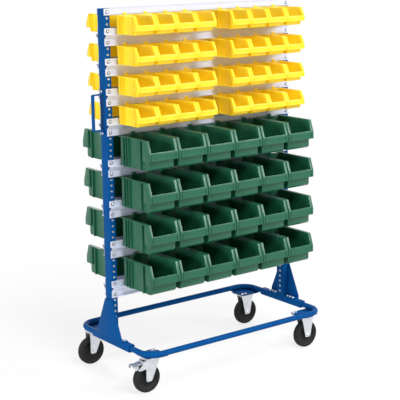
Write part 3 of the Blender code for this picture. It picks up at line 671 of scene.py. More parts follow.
def hollow_tube(path, height, radius, bore, sides):
    """A round tube along a flat path, with open ends."""
    points = [Vector(point) for point in path]
    vertices, rings = [], []
    for i, point in enumerate(points):
        before = points[max(i - 1, 0)]
        after = points[min(i + 1, len(points) - 1)]
        heading = (after - before).normalized()
        side = Vector((-heading.y, heading.x))
        pair = []
        for size in (radius, bore):
            pair.append(list(range(len(vertices), len(vertices) + sides)))
            for k in range(sides):
                angle = 2 * math.pi * (k + 0.5) / sides
                across = side * size * math.cos(angle)
                vertices.append((point.x + across.x, point.y + across.y, height + size * math.sin(angle)))
        rings.append(pair)
    faces = []
    for k in range(sides):
        m = (k + 1) % sides
        for (outer, inner), (next_outer, next_inner) in zip(rings, rings[1:]):
            faces.append([outer[k], outer[m], next_outer[m], next_outer[k]])
            faces.append([inner[m], inner[k], next_inner[k], next_inner[m]])
        for outer, inner in (rings[0], rings[-1]):
            faces.append([outer[k], outer[m], inner[m], inner[k]])
    return mesh_from(vertices, faces)


def second_material(mesh):
    """A mesh whose faces take the second of its materials."""
    for polygon in mesh.polygons:
        polygon.material_index = 1
    return mesh


def add_piece(name, mesh, material, body, place=(0, 0, 0), turn=0.0, replaces=(), second=None):
    """A piece in the rack's own places, riding on a body."""
    item = linked(name, mesh)
    if not mesh.materials:
        mesh.materials.append(material)
        if second:
            mesh.materials.append(second)
    where = Vector(place) + Vector((MIDDLE_X, 0, 0))
    item.matrix_world = Matrix.Translation(where) @ Matrix.Rotation(turn, 4, "Z")
    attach(item, body)
    if replaces:
        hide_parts(*replaces)
    return item


# Fasteners, made about Z with their seat at z = 0
def scaled(profile, radius, height, seat=0):
    """A profile given in shares of a radius, and of a height above a seat."""
    return [(radius * across, seat + height * up) for across, up in profile]


def socket_screw_mesh():
    """A bright button-head screw on a dark spring washer, whose dark colour is a painted shadow round the
    head.
    """
    top = WASHER_HEIGHT + SCREW_HEIGHT
    washer = scaled(WASHER_PROFILE, WASHER_RADIUS, WASHER_HEIGHT)
    head = [(0, WASHER_HEIGHT / 2), (SCREW_RADIUS, WASHER_HEIGHT / 2)]
    head += scaled(SCREW_HEAD_PROFILE, SCREW_RADIUS, SCREW_HEIGHT, WASHER_HEIGHT)
    socket = cylinder(SOCKET_RADIUS, top - SOCKET_DEPTH, top + CUT_OVERRUN, HEX_SIDES)
    bright = smooth(cut(turned(head, FASTENER_SIDES, False), socket))
    # The washer takes the second material, dark as a painted shadow round the head
    dark = second_material(smooth(turned(washer, FASTENER_SIDES, False)))
    return gathered(bright, dark)


def hex_bolt_mesh():
    """A hexagon head on a washer, with the head's corners turned off."""
    washer = cylinder(WASHER_RADIUS, 0, WASHER_HEIGHT, FASTENER_SIDES)
    top = WASHER_HEIGHT + BOLT_HEIGHT
    head = cylinder(BOLT_RADIUS, WASHER_HEIGHT - SEAT_GAP, top, HEX_SIDES)
    clear = BOLT_RADIUS * BOLT_CLEAR_SHARE
    profile = [(0, -WASHER_HEIGHT), (clear, -WASHER_HEIGHT), (clear, top - BOLT_HEIGHT * BOLT_TURNED_DROP)]
    profile += [(BOLT_RADIUS * BOLT_TURNED_SHARE, top), (0, top)]
    dome = turned(profile, FASTENER_SIDES, False)
    return smooth(united(combined(head, ("INTERSECT", dome)), washer))


def towards(mesh, direction, place):
    """A fastener turned so that its head points along a direction."""
    turn = Vector((0, 0, 1)).rotation_difference(Vector(direction)).to_matrix().to_4x4()
    return placed(mesh.copy(), Matrix.Translation(place) @ turn)


# Uprights
def hole_heights():
    count = int((RACK_HEIGHT - FIRST_HOLE_DROP - UPRIGHT_BOTTOM) / HOLE_PITCH) + 1
    return [RACK_HEIGHT - FIRST_HOLE_DROP - HOLE_PITCH * i for i in range(count)]


def upright_mesh(all_faces):
    """A rectangular tube with a column of holes on its inner face, or on its front and rear faces too."""
    outer = rounded_rectangle(UPRIGHT_WIDTH / 2, UPRIGHT_DEPTH / 2, UPRIGHT_CORNER, CORNER_STEPS)
    inner_half_x = UPRIGHT_WIDTH / 2 - UPRIGHT_WALL
    inner_half_y = UPRIGHT_DEPTH / 2 - UPRIGHT_WALL
    inner = rounded_rectangle(inner_half_x, inner_half_y, UPRIGHT_CORNER - UPRIGHT_WALL, CORNER_STEPS)
    tube = prism(outer, UPRIGHT_BOTTOM, RACK_HEIGHT, "Z")
    bore = prism(inner, UPRIGHT_BOTTOM - CUT_OVERRUN, RACK_HEIGHT + CUT_OVERRUN, "Z")
    places = [(0, 0, height) for height in hole_heights()]
    reach = UPRIGHT_DEPTH / 2 + CUT_OVERRUN
    along = along_y(cylinder(HOLE_DIAMETER / 2, -reach, reach, HOLE_SIDES), 0, 0)
    side = placed(cylinder(HOLE_DIAMETER / 2, 0, reach, HOLE_SIDES), Matrix.Rotation(QUARTER_TURN, 4, "Y"))
    drills, side_drills = copies(along, places), copies(side, places)
    if all_faces:
        return smooth(cut(tube, bore, drills, side_drills))
    return smooth(cut(tube, bore, side_drills))


def covered(height):
    """Whether a rail lies over the uprights' front and rear faces at this height."""
    if height > RACK_HEIGHT - RAIL_BAND_HEIGHT - INSERT_RADIUS:
        return True
    low, high = -RAIL_DROP - INSERT_RADIUS, RAIL_FLANGE_HEIGHT + INSERT_RADIUS
    return any(low < height - ledge < high for ledge in ledge_heights())


def insert_mesh():
    """The flanged rim of a threaded insert in a hole, made about Z with its seat at z = 0."""
    profile = [
        (INSERT_BORE, -UPRIGHT_WALL),
        (INSERT_BORE, INSERT_HEIGHT * 0.6),
        (INSERT_BORE * 1.2, INSERT_HEIGHT),
        (INSERT_RADIUS * 0.9, INSERT_HEIGHT),
        (INSERT_RADIUS, 0),
        (HOLE_DIAMETER / 2 - SEAT_GAP, 0),
        (HOLE_DIAMETER / 2 - SEAT_GAP, -UPRIGHT_WALL),
    ]
    return smooth(turned(profile, FASTENER_SIDES, True))


def inserts_mesh(all_faces):
    """The inserts of an upright's inner face, and of its front and rear faces where no rail covers them."""
    front = towards(insert_mesh(), (0, -1, 0), (0, -FACE_Y, 0))
    rear = towards(insert_mesh(), (0, 1, 0), (0, FACE_Y, 0))
    inner = towards(insert_mesh(), (1, 0, 0), (UPRIGHT_WIDTH / 2, 0, 0))
    column = copies(inner, [(0, 0, height) for height in hole_heights()])
    if not all_faces:
        return column
    free = [(0, 0, height) for height in hole_heights() if not covered(height)]
    return gathered(copies(front, free), copies(rear, free), column)


def add_uprights():
    for end, sign, turn in ENDS:
        mesh, inserts = upright_mesh(end == "left"), inserts_mesh(end == "left")
        place = (sign * UPRIGHT_X, 0, 0)
        add_piece(f"upright_tube_{end}", mesh, BLUE, "frame", place, turn, (f"upright_{end}",))
        add_piece(f"upright_inserts_{end}", inserts, ZINC, "frame", place, turn)


# Rails, made for the front side, where outwards is -Y
def outwards(outline):
    """An outline in (distance from the upright's face, height) turned into (y, z) on the front side."""
    return [(-FACE_Y - distance, height) for distance, height in outline]


def rail_mesh(path):
    folded = rounded_path(path, RAIL_FOLD_RADIUS, FOLD_STEPS)
    outline = outwards(sheet_outline(folded, RAIL_SHEET))
    return smooth(prism(outline, -RAIL_LENGTH / 2, RAIL_LENGTH / 2, "X"))


def lip_path(front, bottom):
    """The upturned lip at the lower edge of a rail, from the band's front face."""
    return [
        (front, bottom + RAIL_SHEET),
        (front + RAIL_LIP_GAP, bottom + RAIL_SHEET),
        (front + RAIL_LIP_GAP, bottom + LIP_TOP),
    ]


def add_rails():
    front = RAIL_BACK + RAIL_SHEET
    top = rail_mesh([(front, 0)] + lip_path(front, -RAIL_BAND_HEIGHT))
    ledge_path = [
        (front, RAIL_FLANGE_HEIGHT),
        (front, 0),
        (RAIL_BACK + RAIL_LEDGE_DEPTH, 0),
        (front, -RAIL_SLANT_DROP),
    ]
    ledge = rail_mesh(ledge_path + lip_path(front, -RAIL_DROP))
    screw = towards(socket_screw_mesh(), (0, -1, 0), (0, -FACE_Y - RAIL_BACK - RAIL_SHEET, 0))
    band_screw = -RAIL_SLANT_DROP - RAIL_BAND_HEIGHT / 2
    ends = (-UPRIGHT_X, UPRIGHT_X)
    top_screws = copies(screw, [(x, 0, -RAIL_BAND_HEIGHT / 2) for x in ends])
    ledge_screws = copies(screw, [(x, 0, z) for x in ends for z in (RAIL_FLANGE_HEIGHT / 2, band_screw)])
    for side, _, turn in SIDES:
        place = (0, 0, RACK_HEIGHT)
        node = f"rail_{side}_top"
        add_piece(f"top_rail_{side}", top, GALVANISED_TOP_PAINTED_SHADE, "frame", place, turn, (node,))
        add_piece(f"top_rail_screws_{side}", top_screws, ZINC, "frame", place, turn, second=PAINTED_SHADOW_STEEL)
        for i, height in enumerate(ledge_heights()):
            place = (0, 0, height)
            node = f"rail_{side}_{i + 1}"
            add_piece(f"ledge_{node}", ledge, GALVANISED, "frame", place, turn, (node,))
            add_piece(f"screws_{node}", ledge_screws, ZINC, "frame", place, turn, second=PAINTED_SHADOW_STEEL)


# Bins, made with their back at y = 0, their front towards -Y and their bottom at z = 0
def bin_prism(outline, start, end):
    """An outline in (distance from the back, height) between two X places."""
    return prism([(-distance, height) for distance, height in outline], start, end, "X")


def bin_slab(start, end, bottom, top, half):
    """A block between two distances from the back and two heights, to both sides of the middle."""
    return bin_prism([(start, bottom), (start, top), (end, top), (end, bottom)], -half, half)


def hook_mesh(size, half):
    """The tab behind a bin, over the lip of the rail above and down behind it."""
    trough_middle = RAIL_BACK + RAIL_SHEET + RAIL_LIP_GAP / 2
    back = trough_middle - HOOK_THICKNESS / 2 - BIN_BACK
    leg_front = back + HOOK_THICKNESS
    seat = size["clear_height"] + LIP_TOP
    root = size["height"] - HOOK_ROOT
    inside = size["wall"] + HOOK_SETBACK
    over, below = seat + HOOK_THICKNESS, seat - HOOK_DEPTH
    outline = [(back, below), (back, over), (inside, over), (inside, root)]
    outline += [(HOOK_SETBACK, root), (HOOK_SETBACK, seat), (leg_front, seat), (leg_front, below)]
    return bin_prism(outline, -half * HOOK_WIDTH_SHARE, half * HOOK_WIDTH_SHARE)


def bin_mesh(size):
    """A moulded bin: ribbed sides set in under a rim, wide front ears and a lip with a label field."""
    length, height, wall = size["length"], size["height"], size["wall"]
    half = size["width"] / 2
    body_half = half - size["rim_width"]
    low_front = length - size["step_depth"]
    slope_start = length - size["slope_run"]
    ear_start = length - size["ear_length"]
    step, lip, toe = size["step_height"], size["lip_height"], size["toe"]
    outline = [(0, 0), (0, height), (slope_start, height), (low_front, step), (low_front, toe)]
    body = bin_prism(outline + [(low_front - toe, 0)], -body_half, body_half)
    ear_half = half - size["ear_inset"]
    outline = [(ear_start, step), (ear_start, height), (slope_start, height), (length, lip), (length, step)]
    ears = bin_prism(outline, -ear_half, ear_half)
    rim_bottom = height - size["rim_thickness"]
    rim_end = ear_start + WELD_OVERLAP
    rim = bin_slab(0, rim_end, rim_bottom, height, half)
    skirt_half = body_half + size["skirt_reach"]
    skirt = bin_slab(0, low_front - toe, 0, size["skirt_height"], skirt_half)
    changes = [("UNION", ears), ("UNION", rim), ("UNION", skirt)]
    top = rim_bottom + WELD_OVERLAP
    ribs = [(place, size["rib_reach"]) for place in size["rib_places"]]
    ribs.append((size["post_place"], size["post_reach"]))
    for start, reach in ribs:
        changes.append(("UNION", bin_slab(start, start + size["rib_width"], 0, top, body_half + reach)))
    over = height + CUT_OVERRUN
    inner_front = length - wall
    inner_low = low_front - wall
    shelf = step + wall
    hollow = [(wall, wall), (wall, over), (inner_front, over), (inner_front, shelf), (inner_low, shelf)]
    hollow += [(inner_low, toe + wall), (inner_low - toe, wall)]
    cavity = bin_prism(hollow, wall - body_half, body_half - wall)
    changes.append(("DIFFERENCE", cavity))
    margin, depth, slot = size["field_margin"], size["field_depth"], size["slot_width"]
    field_half = body_half - margin
    field = box((-field_half, field_half), (-length - depth, depth - length), (step + margin, lip - margin))
    changes.append(("DIFFERENCE", field))
    for sign in (-1, 1):
        x0, x1 = sorted((sign * (field_half + slot / 2), sign * (field_half + 3 * slot / 2)))
        groove = box((x0, x1), (-length - depth, 2 * depth - length), (step - margin, lip + margin))
        changes.append(("DIFFERENCE", groove))
    changes.append(("UNION", hook_mesh(size, body_half)))
    return softened(combined(body, *changes), BIN_EDGE)


def add_bins():
    yellow_pitch = YELLOW["width"] + YELLOW_SPACING
    green_pitch = GREEN["width"] + GREEN_SPACING
    yellow = ("yellow_plastic", bin_mesh(YELLOW), YELLOW_PLASTIC, YELLOW_GROUP_COUNT, yellow_pitch)
    green = ("green_plastic", bin_mesh(GREEN), GREEN_PLASTIC, GREEN_ROW_COUNT, green_pitch)
    group_x = (yellow_pitch * YELLOW_GROUP_COUNT - YELLOW_SPACING + YELLOW_GROUP_GAP) / 2
    for side, sign, turn in SIDES:
        y = sign * (FACE_Y + BIN_BACK)
        for i, ledge in enumerate(ledge_heights()):
            z = ledge + SEAT_GAP
            if i >= YELLOW_ROWS:
                add_bin_row(f"bins_green_{side}_{i - YELLOW_ROWS + 1}", green, (0, y, z), turn)
                continue
            for end, x, _ in ENDS:
                add_bin_row(f"bins_yellow_{side}_{i + 1}_{end}", yellow, (x * group_x, y, z), turn)


def add_bin_row(node, kind, place, turn):
    """The bins of one group, the first of which stands for the group's node."""
    slot, mesh, material, count, pitch = kind
    first = place[0] - pitch * (count - 1) / 2
    for k in range(count):
        name = f"{node.replace('bins_', 'bin_')}_{k + 1}"
        where = (first + pitch * k, place[1], place[2])
        replaced = (node,) if k == 0 else ()
        add_piece(name, mesh, material, node, where, turn, replaced)


# Base tubes and feet
def corner_plate_mesh(x_sign):
    """The plate under a bend of the front tube, welded in under the tube's axis."""
    inner_x = UPRIGHT_X + TUBE_DIAMETER / 2 - CORNER_PLATE_LENGTH
    inner_y = BASE_HALF_DEPTH + TUBE_DIAMETER / 2 - CORNER_PLATE_DEPTH
    corners = [(inner_x, BASE_HALF_DEPTH), (UPRIGHT_X, BASE_HALF_DEPTH), (UPRIGHT_X, inner_y)]
    outline = rounded_path(corners, TUBE_BEND_RADIUS, BEND_STEPS) + [(inner_x, inner_y)]
    outline = [(x_sign * x, -y) for x, y in outline]
    return softened(prism(outline, CORNER_PLATE_BOTTOM, CORNER_PLATE_TOP, "Z"), FINE_EDGE)


def base_tube_mesh():
    """The front half of the tube loop, with the two plates that carry its casters."""
    end_y = TUBE_JOINT_GAP / 2
    left_end, right_end = (-UPRIGHT_X, -end_y), (UPRIGHT_X, -end_y)
    corners = [left_end, (-UPRIGHT_X, -BASE_HALF_DEPTH), (UPRIGHT_X, -BASE_HALF_DEPTH), right_end]
    path = rounded_path(corners, TUBE_BEND_RADIUS, BEND_STEPS)
    radius = TUBE_DIAMETER / 2
    tube = hollow_tube(path, TUBE_AXIS_HEIGHT, radius, radius - TUBE_WALL, ROUND_SIDES)
    return gathered(smooth(tube), corner_plate_mesh(-1), corner_plate_mesh(1))


def foot_mesh():
    """The left foot, made with the tube's axis at x = 0."""
    half, inner = SLEEVE_OUTER / 2, SLEEVE_INNER / 2
    plate_inner = -(RAIL_LENGTH / 2 - UPRIGHT_X) - SEAT_GAP
    plate_outer = plate_inner - FOOT_PLATE_THICKNESS
    sleeve_outline = rounded_rectangle(half, half, SLEEVE_EDGE, CORNER_STEPS)
    sleeve_outline = [(x, z + TUBE_AXIS_HEIGHT) for x, z in sleeve_outline]
    sleeve = prism(sleeve_outline, -SLEEVE_LENGTH / 2, SLEEVE_LENGTH / 2, "Y")
    base, low = FOOT_PLATE_BASE_HALF, SLEEVE_TOP - WELD_OVERLAP
    flange = box((plate_outer, half), (-base, base), (low, FOOT_FLANGE_TOP))
    shoulder = FOOT_FLANGE_TOP + FOOT_PLATE_FOOT_HEIGHT
    top = FOOT_FLANGE_TOP + FOOT_PLATE_HEIGHT
    outline = [(-base, low), (-base, shoulder), (-FACE_Y, top), (FACE_Y, top), (base, shoulder), (base, low)]
    plate = prism(outline, plate_outer, plate_inner, "X")
    reach = SLEEVE_LENGTH / 2 + CUT_OVERRUN
    bore = box((-inner, inner), (-reach, reach), (TUBE_AXIS_HEIGHT - inner, TUBE_AXIS_HEIGHT + inner))
    foot = combined(sleeve, ("UNION", flange), ("UNION", plate), ("DIFFERENCE", bore))
    return softened(foot, PLATE_EDGE / 2)


def foot_bolts_mesh():
    places = [(FOOT_BOLT_X, sign * y, FOOT_FLANGE_TOP) for sign in (-1, 1) for y in FOOT_BOLTS]
    return copies(hex_bolt_mesh(), places)


def add_base():
    tube, foot, bolts = base_tube_mesh(), foot_mesh(), foot_bolts_mesh()
    for side, _, turn in SIDES:
        node = f"base_tube_{side}"
        add_piece(f"tube_loop_{side}", tube, BLUE, "frame", (0, 0, 0), turn, (node,))
    for end, sign, turn in ENDS:
        place = (sign * UPRIGHT_X, 0, 0)
        add_piece(f"foot_bracket_{end}", foot, BLUE, "frame", place, turn, (f"foot_{end}",))
        add_piece(f"foot_bolts_{end}", bolts, ZINC, "frame", place, turn)
    # Bolt heads on the corner plates, inside the tube's bends, that hold the casters' plates
    plate_bolt = copies(hex_bolt_mesh(), [(0, 0, CORNER_PLATE_TOP - WELD_OVERLAP)])
    for side, y_sign, _ in SIDES:
        for end, x_sign, _ in ENDS:
            for k, (x, y) in enumerate(CASTER_BOLTS):
                place = (x_sign * (CASTER_X - x), y_sign * (CASTER_Y - y), 0)
                add_piece(f"caster_bolt_{side}_{end}_{k + 1}", plate_bolt, ZINC, "frame", place)


# Push handle
def add_handle():
    """A bow of flat bar with two tabs on the left upright, each held by a screw."""
    half = HANDLE_HEIGHT / 2
    tip = half + HANDLE_TAB_LENGTH - HANDLE_BAR_THICKNESS
    face = -HANDLE_BAR_THICKNESS
    outer = -HANDLE_OVERHANG
    path = [(face, tip), (face, half), (outer, half), (outer, -half), (face, -half), (face, -tip)]
    path = rounded_path(path, HANDLE_BEND_RADIUS, BEND_STEPS)
    outline = sheet_outline(path[::-1], HANDLE_BAR_THICKNESS)
    bow = prism(outline, -HANDLE_BAR_WIDTH / 2, HANDLE_BAR_WIDTH / 2, "Y")
    place = (-RAIL_LENGTH / 2 - SEAT_GAP, 0, HANDLE_CENTRE_HEIGHT)
    bow = softened(bow, FINE_EDGE)
    add_piece("push_handle_bow", bow, BLUE, "frame", place, 0, ("push_handle",))
    screw_height = (half + tip) / 2 + HANDLE_BAR_THICKNESS / 2
    screws = [towards(socket_screw_mesh(), (-1, 0, 0), (face, 0, sign * screw_height)) for sign in (-1, 1)]
    add_piece("push_handle_screws", gathered(*screws), ZINC, "frame", place, second=PAINTED_SHADOW_STEEL)


# Casters, made about the vertical axis of their plate, with the wheels trailing towards -X
def wheel_mesh():
    """A solid tyre with fine ridges round its tread, on a disc and a hub."""
    half_profile = [
        (AXLE_DIAMETER / 2 + BORE_CLEARANCE, HUB_WIDTH / 2),
        (HUB_RADIUS * 0.80, HUB_WIDTH / 2),
        (HUB_RADIUS, HUB_WIDTH / 2 - HUB_RADIUS * 0.14),
        (HUB_RADIUS * 1.04, WHEEL_DISC_WIDTH * 0.62),
        (HUB_RADIUS * 1.25, WHEEL_DISC_WIDTH / 2),
        (TYRE_INNER_RADIUS * 0.90, WHEEL_DISC_WIDTH / 2),
        (TYRE_INNER_RADIUS * 0.96, WHEEL_DISC_WIDTH * 0.58),
        (TYRE_INNER_RADIUS, WHEEL_DISC_WIDTH * 0.80),
        (WHEEL_RADIUS - TYRE_SIDE_DROP * 1.30, TYRE_WIDTH * 0.47),
        (WHEEL_RADIUS - TYRE_SIDE_DROP, TYRE_WIDTH / 2),
        (WHEEL_RADIUS - TYRE_SIDE_DROP * 0.62, TYRE_WIDTH * 0.495),
        (WHEEL_RADIUS - TYRE_SHOULDER_DROP, TYRE_WIDTH / 2 - TYRE_SHOULDER_DROP * 0.70),
        (WHEEL_RADIUS - TYRE_SHOULDER_DROP * 0.30, TREAD_FLAT_WIDTH / 2 + TYRE_SHOULDER_DROP),
        (WHEEL_RADIUS, TREAD_FLAT_WIDTH / 2),
    ]
    tread = []
    step = TREAD_FLAT_WIDTH / TYRE_RIDGES
    for i in range(1, TYRE_RIDGES):
        middle = TREAD_FLAT_WIDTH / 2 - step * i
        tread.append((WHEEL_RADIUS, middle + step * RIDGE_SHARE))
        tread.append((WHEEL_RADIUS - RIDGE_DEPTH, middle))
        tread.append((WHEEL_RADIUS, middle - step * RIDGE_SHARE))
    profile = half_profile + tread + [(radius, -height) for radius, height in half_profile[::-1]]
    wheel = turned(profile, WHEEL_SIDES, True, math.pi / 2)
    return smooth(along_y(wheel, 0, 0))


def axle_mesh(x):
    """The axle bolt, with a hexagon head at one end and a nut at the other."""
    reach = FORK_OUTER_HALF + AXLE_HEAD_HEIGHT
    seat = FORK_OUTER_HALF - WELD_OVERLAP
    shank = cylinder(AXLE_DIAMETER / 2, -reach, reach, ROUND_SIDES)
    head = cylinder(AXLE_HEAD_RADIUS, seat, reach - SHEET_EDGE, HEX_SIDES, math.pi / HEX_SIDES)
    nut = cylinder(AXLE_HEAD_RADIUS, -reach + SHEET_EDGE, -seat, HEX_SIDES)
    return along_y(united(shank, head, nut), x, WHEEL_RADIUS)


def leg_outline(axle_x, top_left, top_right, top):
    """A fork leg that tapers from its top edge to a round toe round the axle."""
    toe = WHEEL_RADIUS - FORK_TOE_DROP
    left, right = axle_x - FORK_TOE_HALF, axle_x + FORK_TOE_HALF
    corners = [(top_left, top), (left, toe), (right, toe), (top_right, top)]
    return rounded_path(corners, FORK_TOE_HALF * FORK_TOE_ROUND, TOE_STEPS)


def both_legs(outline):
    inner, outer = FORK_INNER_HALF, FORK_OUTER_HALF
    return prism(outline, -outer, -inner, "Y"), prism(outline, inner, outer, "Y")


def top_plate_mesh():
    """A caster's top plate with rounded corners."""
    half_x, half_y = CASTER_PLATE_LENGTH / 2, CASTER_PLATE_WIDTH / 2
    outline = rounded_rectangle(half_x, half_y, CASTER_PLATE_CORNER, TOE_STEPS)
    return prism(outline, CASTER_PLATE_BOTTOM, CASTER_PLATE_TOP, "Z")


def swivel_plate_mesh():
    """The top plate with its ball race, the kingpin and the nut that holds the fork."""
    nut_top = CROWN_BOTTOM - SEAT_GAP
    nut_bottom = nut_top - KINGPIN_NUT_HEIGHT
    race = turned(
        [
            (0, RACE_BOTTOM),
            (RACE_RADIUS * 0.93, RACE_BOTTOM),
            (RACE_RADIUS, RACE_BOTTOM + RACE_HEIGHT * 0.30),
            (RACE_RADIUS, CASTER_PLATE_BOTTOM - RACE_HEIGHT * 0.25),
            (RACE_RADIUS * 1.06, CASTER_PLATE_BOTTOM + WELD_OVERLAP),
            (0, CASTER_PLATE_BOTTOM + WELD_OVERLAP),
        ],
        ROUND_SIDES,
        False,
    )
    pin = cylinder(KINGPIN_RADIUS, nut_bottom, RACE_BOTTOM + WELD_OVERLAP, ROUND_SIDES)
    nut = cylinder(KINGPIN_NUT_RADIUS, nut_bottom, nut_top, HEX_SIDES)
    return softened(united(top_plate_mesh(), race, pin, nut), FINE_EDGE)


def crown_mesh(back):
    """The flat top of a swivel fork, round at its nose."""
    outline = [(back, -FORK_OUTER_HALF), (0, -FORK_OUTER_HALF)]
    spread = math.asin(FORK_OUTER_HALF / CROWN_NOSE_RADIUS)
    for i in range(1, BEND_STEPS):
        angle = -spread + 2 * spread * i / BEND_STEPS
        outline.append((CROWN_NOSE_RADIUS * math.cos(angle), CROWN_NOSE_RADIUS * math.sin(angle)))
    outline += [(0, FORK_OUTER_HALF), (back, FORK_OUTER_HALF)]
    return prism(outline, CROWN_BOTTOM, CROWN_TOP, "Z")


def swivel_fork_mesh(braked):
    """A swivel fork. The braked one's legs carry two cheeks and the pin of the brake pedal."""
    axle_x = -SWIVEL_TRAIL
    back = axle_x - FORK_TOE_HALF
    outline = leg_outline(axle_x, back, SWIVEL_LEG_FRONT, CROWN_TOP)
    pins = []
    if braked:
        tip, tip_height = -BRAKE_CHEEK_REACH, BRAKE_CHEEK_TIP_HEIGHT
        cheek = [
            (tip, tip_height),
            (tip + BRAKE_CHEEK_TIP_DEPTH, tip_height - BRAKE_CHEEK_TIP_DEPTH / 2),
            (back, BRAKE_CHEEK_ROOT_HEIGHT),
        ]
        outline = outline[:1] + cheek + outline[1:]
        pin = cylinder(BRAKE_PIN_DIAMETER / 2, -FORK_OUTER_HALF, FORK_OUTER_HALF, HOLE_SIDES)
        pins.append(along_y(pin, -BRAKE_PIVOT_X, BRAKE_PIVOT_HEIGHT))
    fork = united(crown_mesh(back), *both_legs(outline), axle_mesh(axle_x), *pins)
    radius = KINGPIN_RADIUS + BORE_CLEARANCE
    hole = cylinder(radius, CROWN_BOTTOM - CUT_OVERRUN, CROWN_TOP + CUT_OVERRUN, ROUND_SIDES)
    return softened(cut(fork, hole), FINE_EDGE)


def fixed_fork_mesh():
    """A fixed caster's fork: a top plate, two flared legs and the axle."""
    top = CASTER_PLATE_BOTTOM + WELD_OVERLAP
    legs = both_legs(leg_outline(0, -FIXED_LEG_TOP_HALF, FIXED_LEG_TOP_HALF, top))
    return softened(united(top_plate_mesh(), *legs, axle_mesh(0)), FINE_EDGE)


def pedal_mesh():
    """The brake pedal, made about its pivot: a hub, an arm and a wider tread with turned-down sides."""
    half = FORK_INNER_HALF - PEDAL_SIDE_GAP
    hub = along_y(cylinder(PEDAL_HUB_RADIUS, -half, half, HOLE_SIDES), 0, 0)
    arm_end = -PEDAL_REACH + PEDAL_TREAD_LENGTH
    arm_drop = PEDAL_DROP * arm_end / PEDAL_REACH
    arm_back, arm_top = arm_end - WELD_OVERLAP, arm_drop + PEDAL_THICKNESS
    arm = prism([(0, PEDAL_THICKNESS), (arm_back, arm_top), (arm_back, arm_drop), (0, 0)], -half, half, "Y")
    wide = FORK_OUTER_HALF + PEDAL_TREAD_OVERHANG
    tip, tip_top = -PEDAL_REACH, -PEDAL_DROP + PEDAL_THICKNESS
    tread_outline = [(arm_end, arm_top), (tip, tip_top), (tip, -PEDAL_DROP), (arm_end, arm_drop)]
    tread = prism(tread_outline, -wide, wide, "Y")
    side_outline = [
        (arm_end, arm_top - SHEET_EDGE),
        (tip, tip_top - SHEET_EDGE),
        (tip, -PEDAL_DROP - PEDAL_SIDE_DEPTH * 0.6),
        (tip + PEDAL_THICKNESS, -PEDAL_DROP - PEDAL_SIDE_DEPTH),
        (arm_end, arm_drop - PEDAL_SIDE_DEPTH),
    ]
    near = prism(side_outline, -wide, -wide + PEDAL_SIDE_THICKNESS, "Y")
    far = prism(side_outline, wide - PEDAL_SIDE_THICKNESS, wide, "Y")
    bore_radius = BRAKE_PIN_DIAMETER / 2 + BORE_CLEARANCE
    bore = along_y(cylinder(bore_radius, -half - CUT_OVERRUN, half + CUT_OVERRUN, HOLE_SIDES), 0, 0)
    pedal = combined(united(hub, arm, tread, near, far), ("DIFFERENCE", bore))
    return softened(pedal, FINE_EDGE)


def add_casters():
    wheel, plate, fixed = wheel_mesh(), swivel_plate_mesh(), fixed_fork_mesh()
    forks = {"front": swivel_fork_mesh(True), "rear": swivel_fork_mesh(False)}
    for side, y_sign, _ in SIDES:
        y = y_sign * CASTER_Y
        left, right = (-CASTER_X, y, 0), (CASTER_X, y, 0)
        node = f"caster_plate_{side}_left"
        add_piece(f"top_plate_{side}_left", plate, ZINC, "frame", left, 0, (node,))
        swivel = ("left", forks[side], f"swivel_{side}_left", left, SWIVEL_TRAIL)
        for end, fork, body, place, trail in (swivel, ("right", fixed, "frame", right, 0)):
            node = f"fork_{side}_{end}"
            add_piece(f"pressed_{node}", fork, ZINC, body, place, 0, (node,))
            node = f"wheel_{side}_{end}"
            axle = (place[0] - trail, y, WHEEL_RADIUS)
            add_piece(f"tyred_{node}", wheel, RUBBER, node, axle, 0, (node,))
    pivot = (-CASTER_X - BRAKE_PIVOT_X, -CASTER_Y, BRAKE_PIVOT_HEIGHT)
    add_piece("pedal_plate", pedal_mesh(), ZINC, "brake", pivot, 0, ("brake_pedal",))


# The stage, the light and the camera
def seen_white(tree, shader_output, share=None):
    """Mixes plain white into what the camera and mirror-like rays see, in full or in the share given."""
    path = tree.nodes.new("ShaderNodeLightPath")
    glow = tree.nodes.new("ShaderNodeEmission")
    glow.inputs["Color"].default_value = (1, 1, 1, 1)
    seen = path.outputs["Is Camera Ray"]
    steps = [("MAXIMUM", path.outputs["Is Glossy Ray"]), ("MAXIMUM", path.outputs["Is Transmission Ray"])]
    if share:
        steps.append(("MULTIPLY", share))
    for operation, other in steps:
        node = tree.nodes.new("ShaderNodeMath")
        node.operation = operation
        tree.links.new(seen, node.inputs[0])
        tree.links.new(other, node.inputs[1])
        seen = node.outputs[0]
    mix = tree.nodes.new("ShaderNodeMixShader")
    tree.links.new(seen, mix.inputs["Fac"])
    tree.links.new(shader_output, mix.inputs[1])
    tree.links.new(glow.outputs[0], mix.inputs[2])
    return mix.outputs[0]


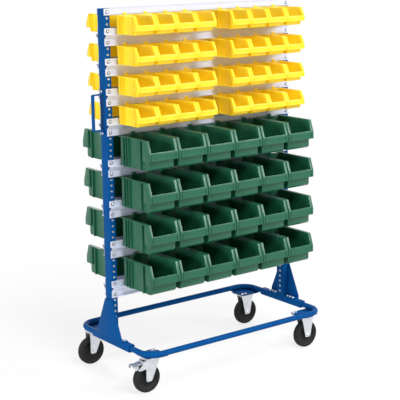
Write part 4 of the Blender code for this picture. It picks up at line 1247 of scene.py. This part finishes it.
def add_stage():
    angles = [2 * math.pi * k / FLOOR_SIDES for k in range(FLOOR_SIDES)]
    rim = [(FLOOR_RADIUS * math.cos(angle), FLOOR_RADIUS * math.sin(angle), 0) for angle in angles]
    floor_mesh = mesh_from(rim, [list(range(FLOOR_SIDES))])
    floor = linked("studio_floor", floor_mesh)
    floor.location = (0, 0, -SEAT_GAP)
    paint = Paint("studio_floor_paint", (0.90, 0.90, 0.90), 0.9)
    stops = [(0.3, (0.89, 0.89, 0.89)), (0.7, (0.91, 0.91, 0.91))]
    paint.colour(paint.ramp(paint.noise(1.5, 2.0), stops))
    paint.constant("Specular IOR Level", 0.1)
    distance = paint.node("ShaderNodeVectorMath")
    distance.operation = "LENGTH"
    paint.join(paint.place, distance.inputs[0])
    away = distance.outputs["Value"]
    share = paint.spread(away, FLOOR_WHITE_NEAR, 1.0, FLOOR_WHITE_START, FLOOR_WHITE_END)
    output = paint.tree.nodes["Material Output"]
    paint.join(seen_white(paint.tree, paint.shader.outputs[0], share), output.inputs["Surface"])
    floor_mesh.materials.append(paint.material)


def add_world():
    world = bpy.data.worlds.new("studio")
    bpy.context.scene.world = world
    world.use_nodes = True
    tree = world.node_tree
    soft = tree.nodes["Background"]
    soft.inputs["Color"].default_value = (1, 1, 1, 1)
    soft.inputs["Strength"].default_value = WORLD_STRENGTH
    output = tree.nodes["World Output"]
    tree.links.new(seen_white(tree, soft.outputs[0]), output.inputs["Surface"])


def add_light():
    for name, (place, size, power) in LAMPS.items():
        data = bpy.data.lights.new(name, "AREA")
        data.shape = "DISK"
        data.size = size
        data.energy = power
        lamp = linked(name, data)
        lamp.location = place
        direction = Vector(LAMP_TARGET) - Vector(place)
        lamp.rotation_euler = direction.to_track_quat("-Z", "Y").to_euler()


def add_camera():
    data = bpy.data.cameras.new("photo_camera")
    data.lens = CAMERA_LENS_MM
    data.sensor_width = CAMERA_SENSOR_MM
    data.shift_y = CAMERA_SHIFT_Y
    camera = linked("photo_camera", data)
    heading = Matrix.Rotation(-CAMERA_HEADING, 4, "Z")
    pitch = Matrix.Rotation(QUARTER_TURN + CAMERA_PITCH, 4, "X")
    roll = Matrix.Rotation(CAMERA_ROLL, 4, "Z")
    camera.matrix_world = Matrix.Translation(CAMERA_PLACE) @ heading @ pitch @ roll
    bpy.context.scene.camera = camera


bpy.context.scene.view_settings.view_transform = "Standard"
add_stage()
add_world()
add_light()
add_camera()
add_uprights()
add_rails()
add_bins()
add_base()
add_handle()
add_casters()
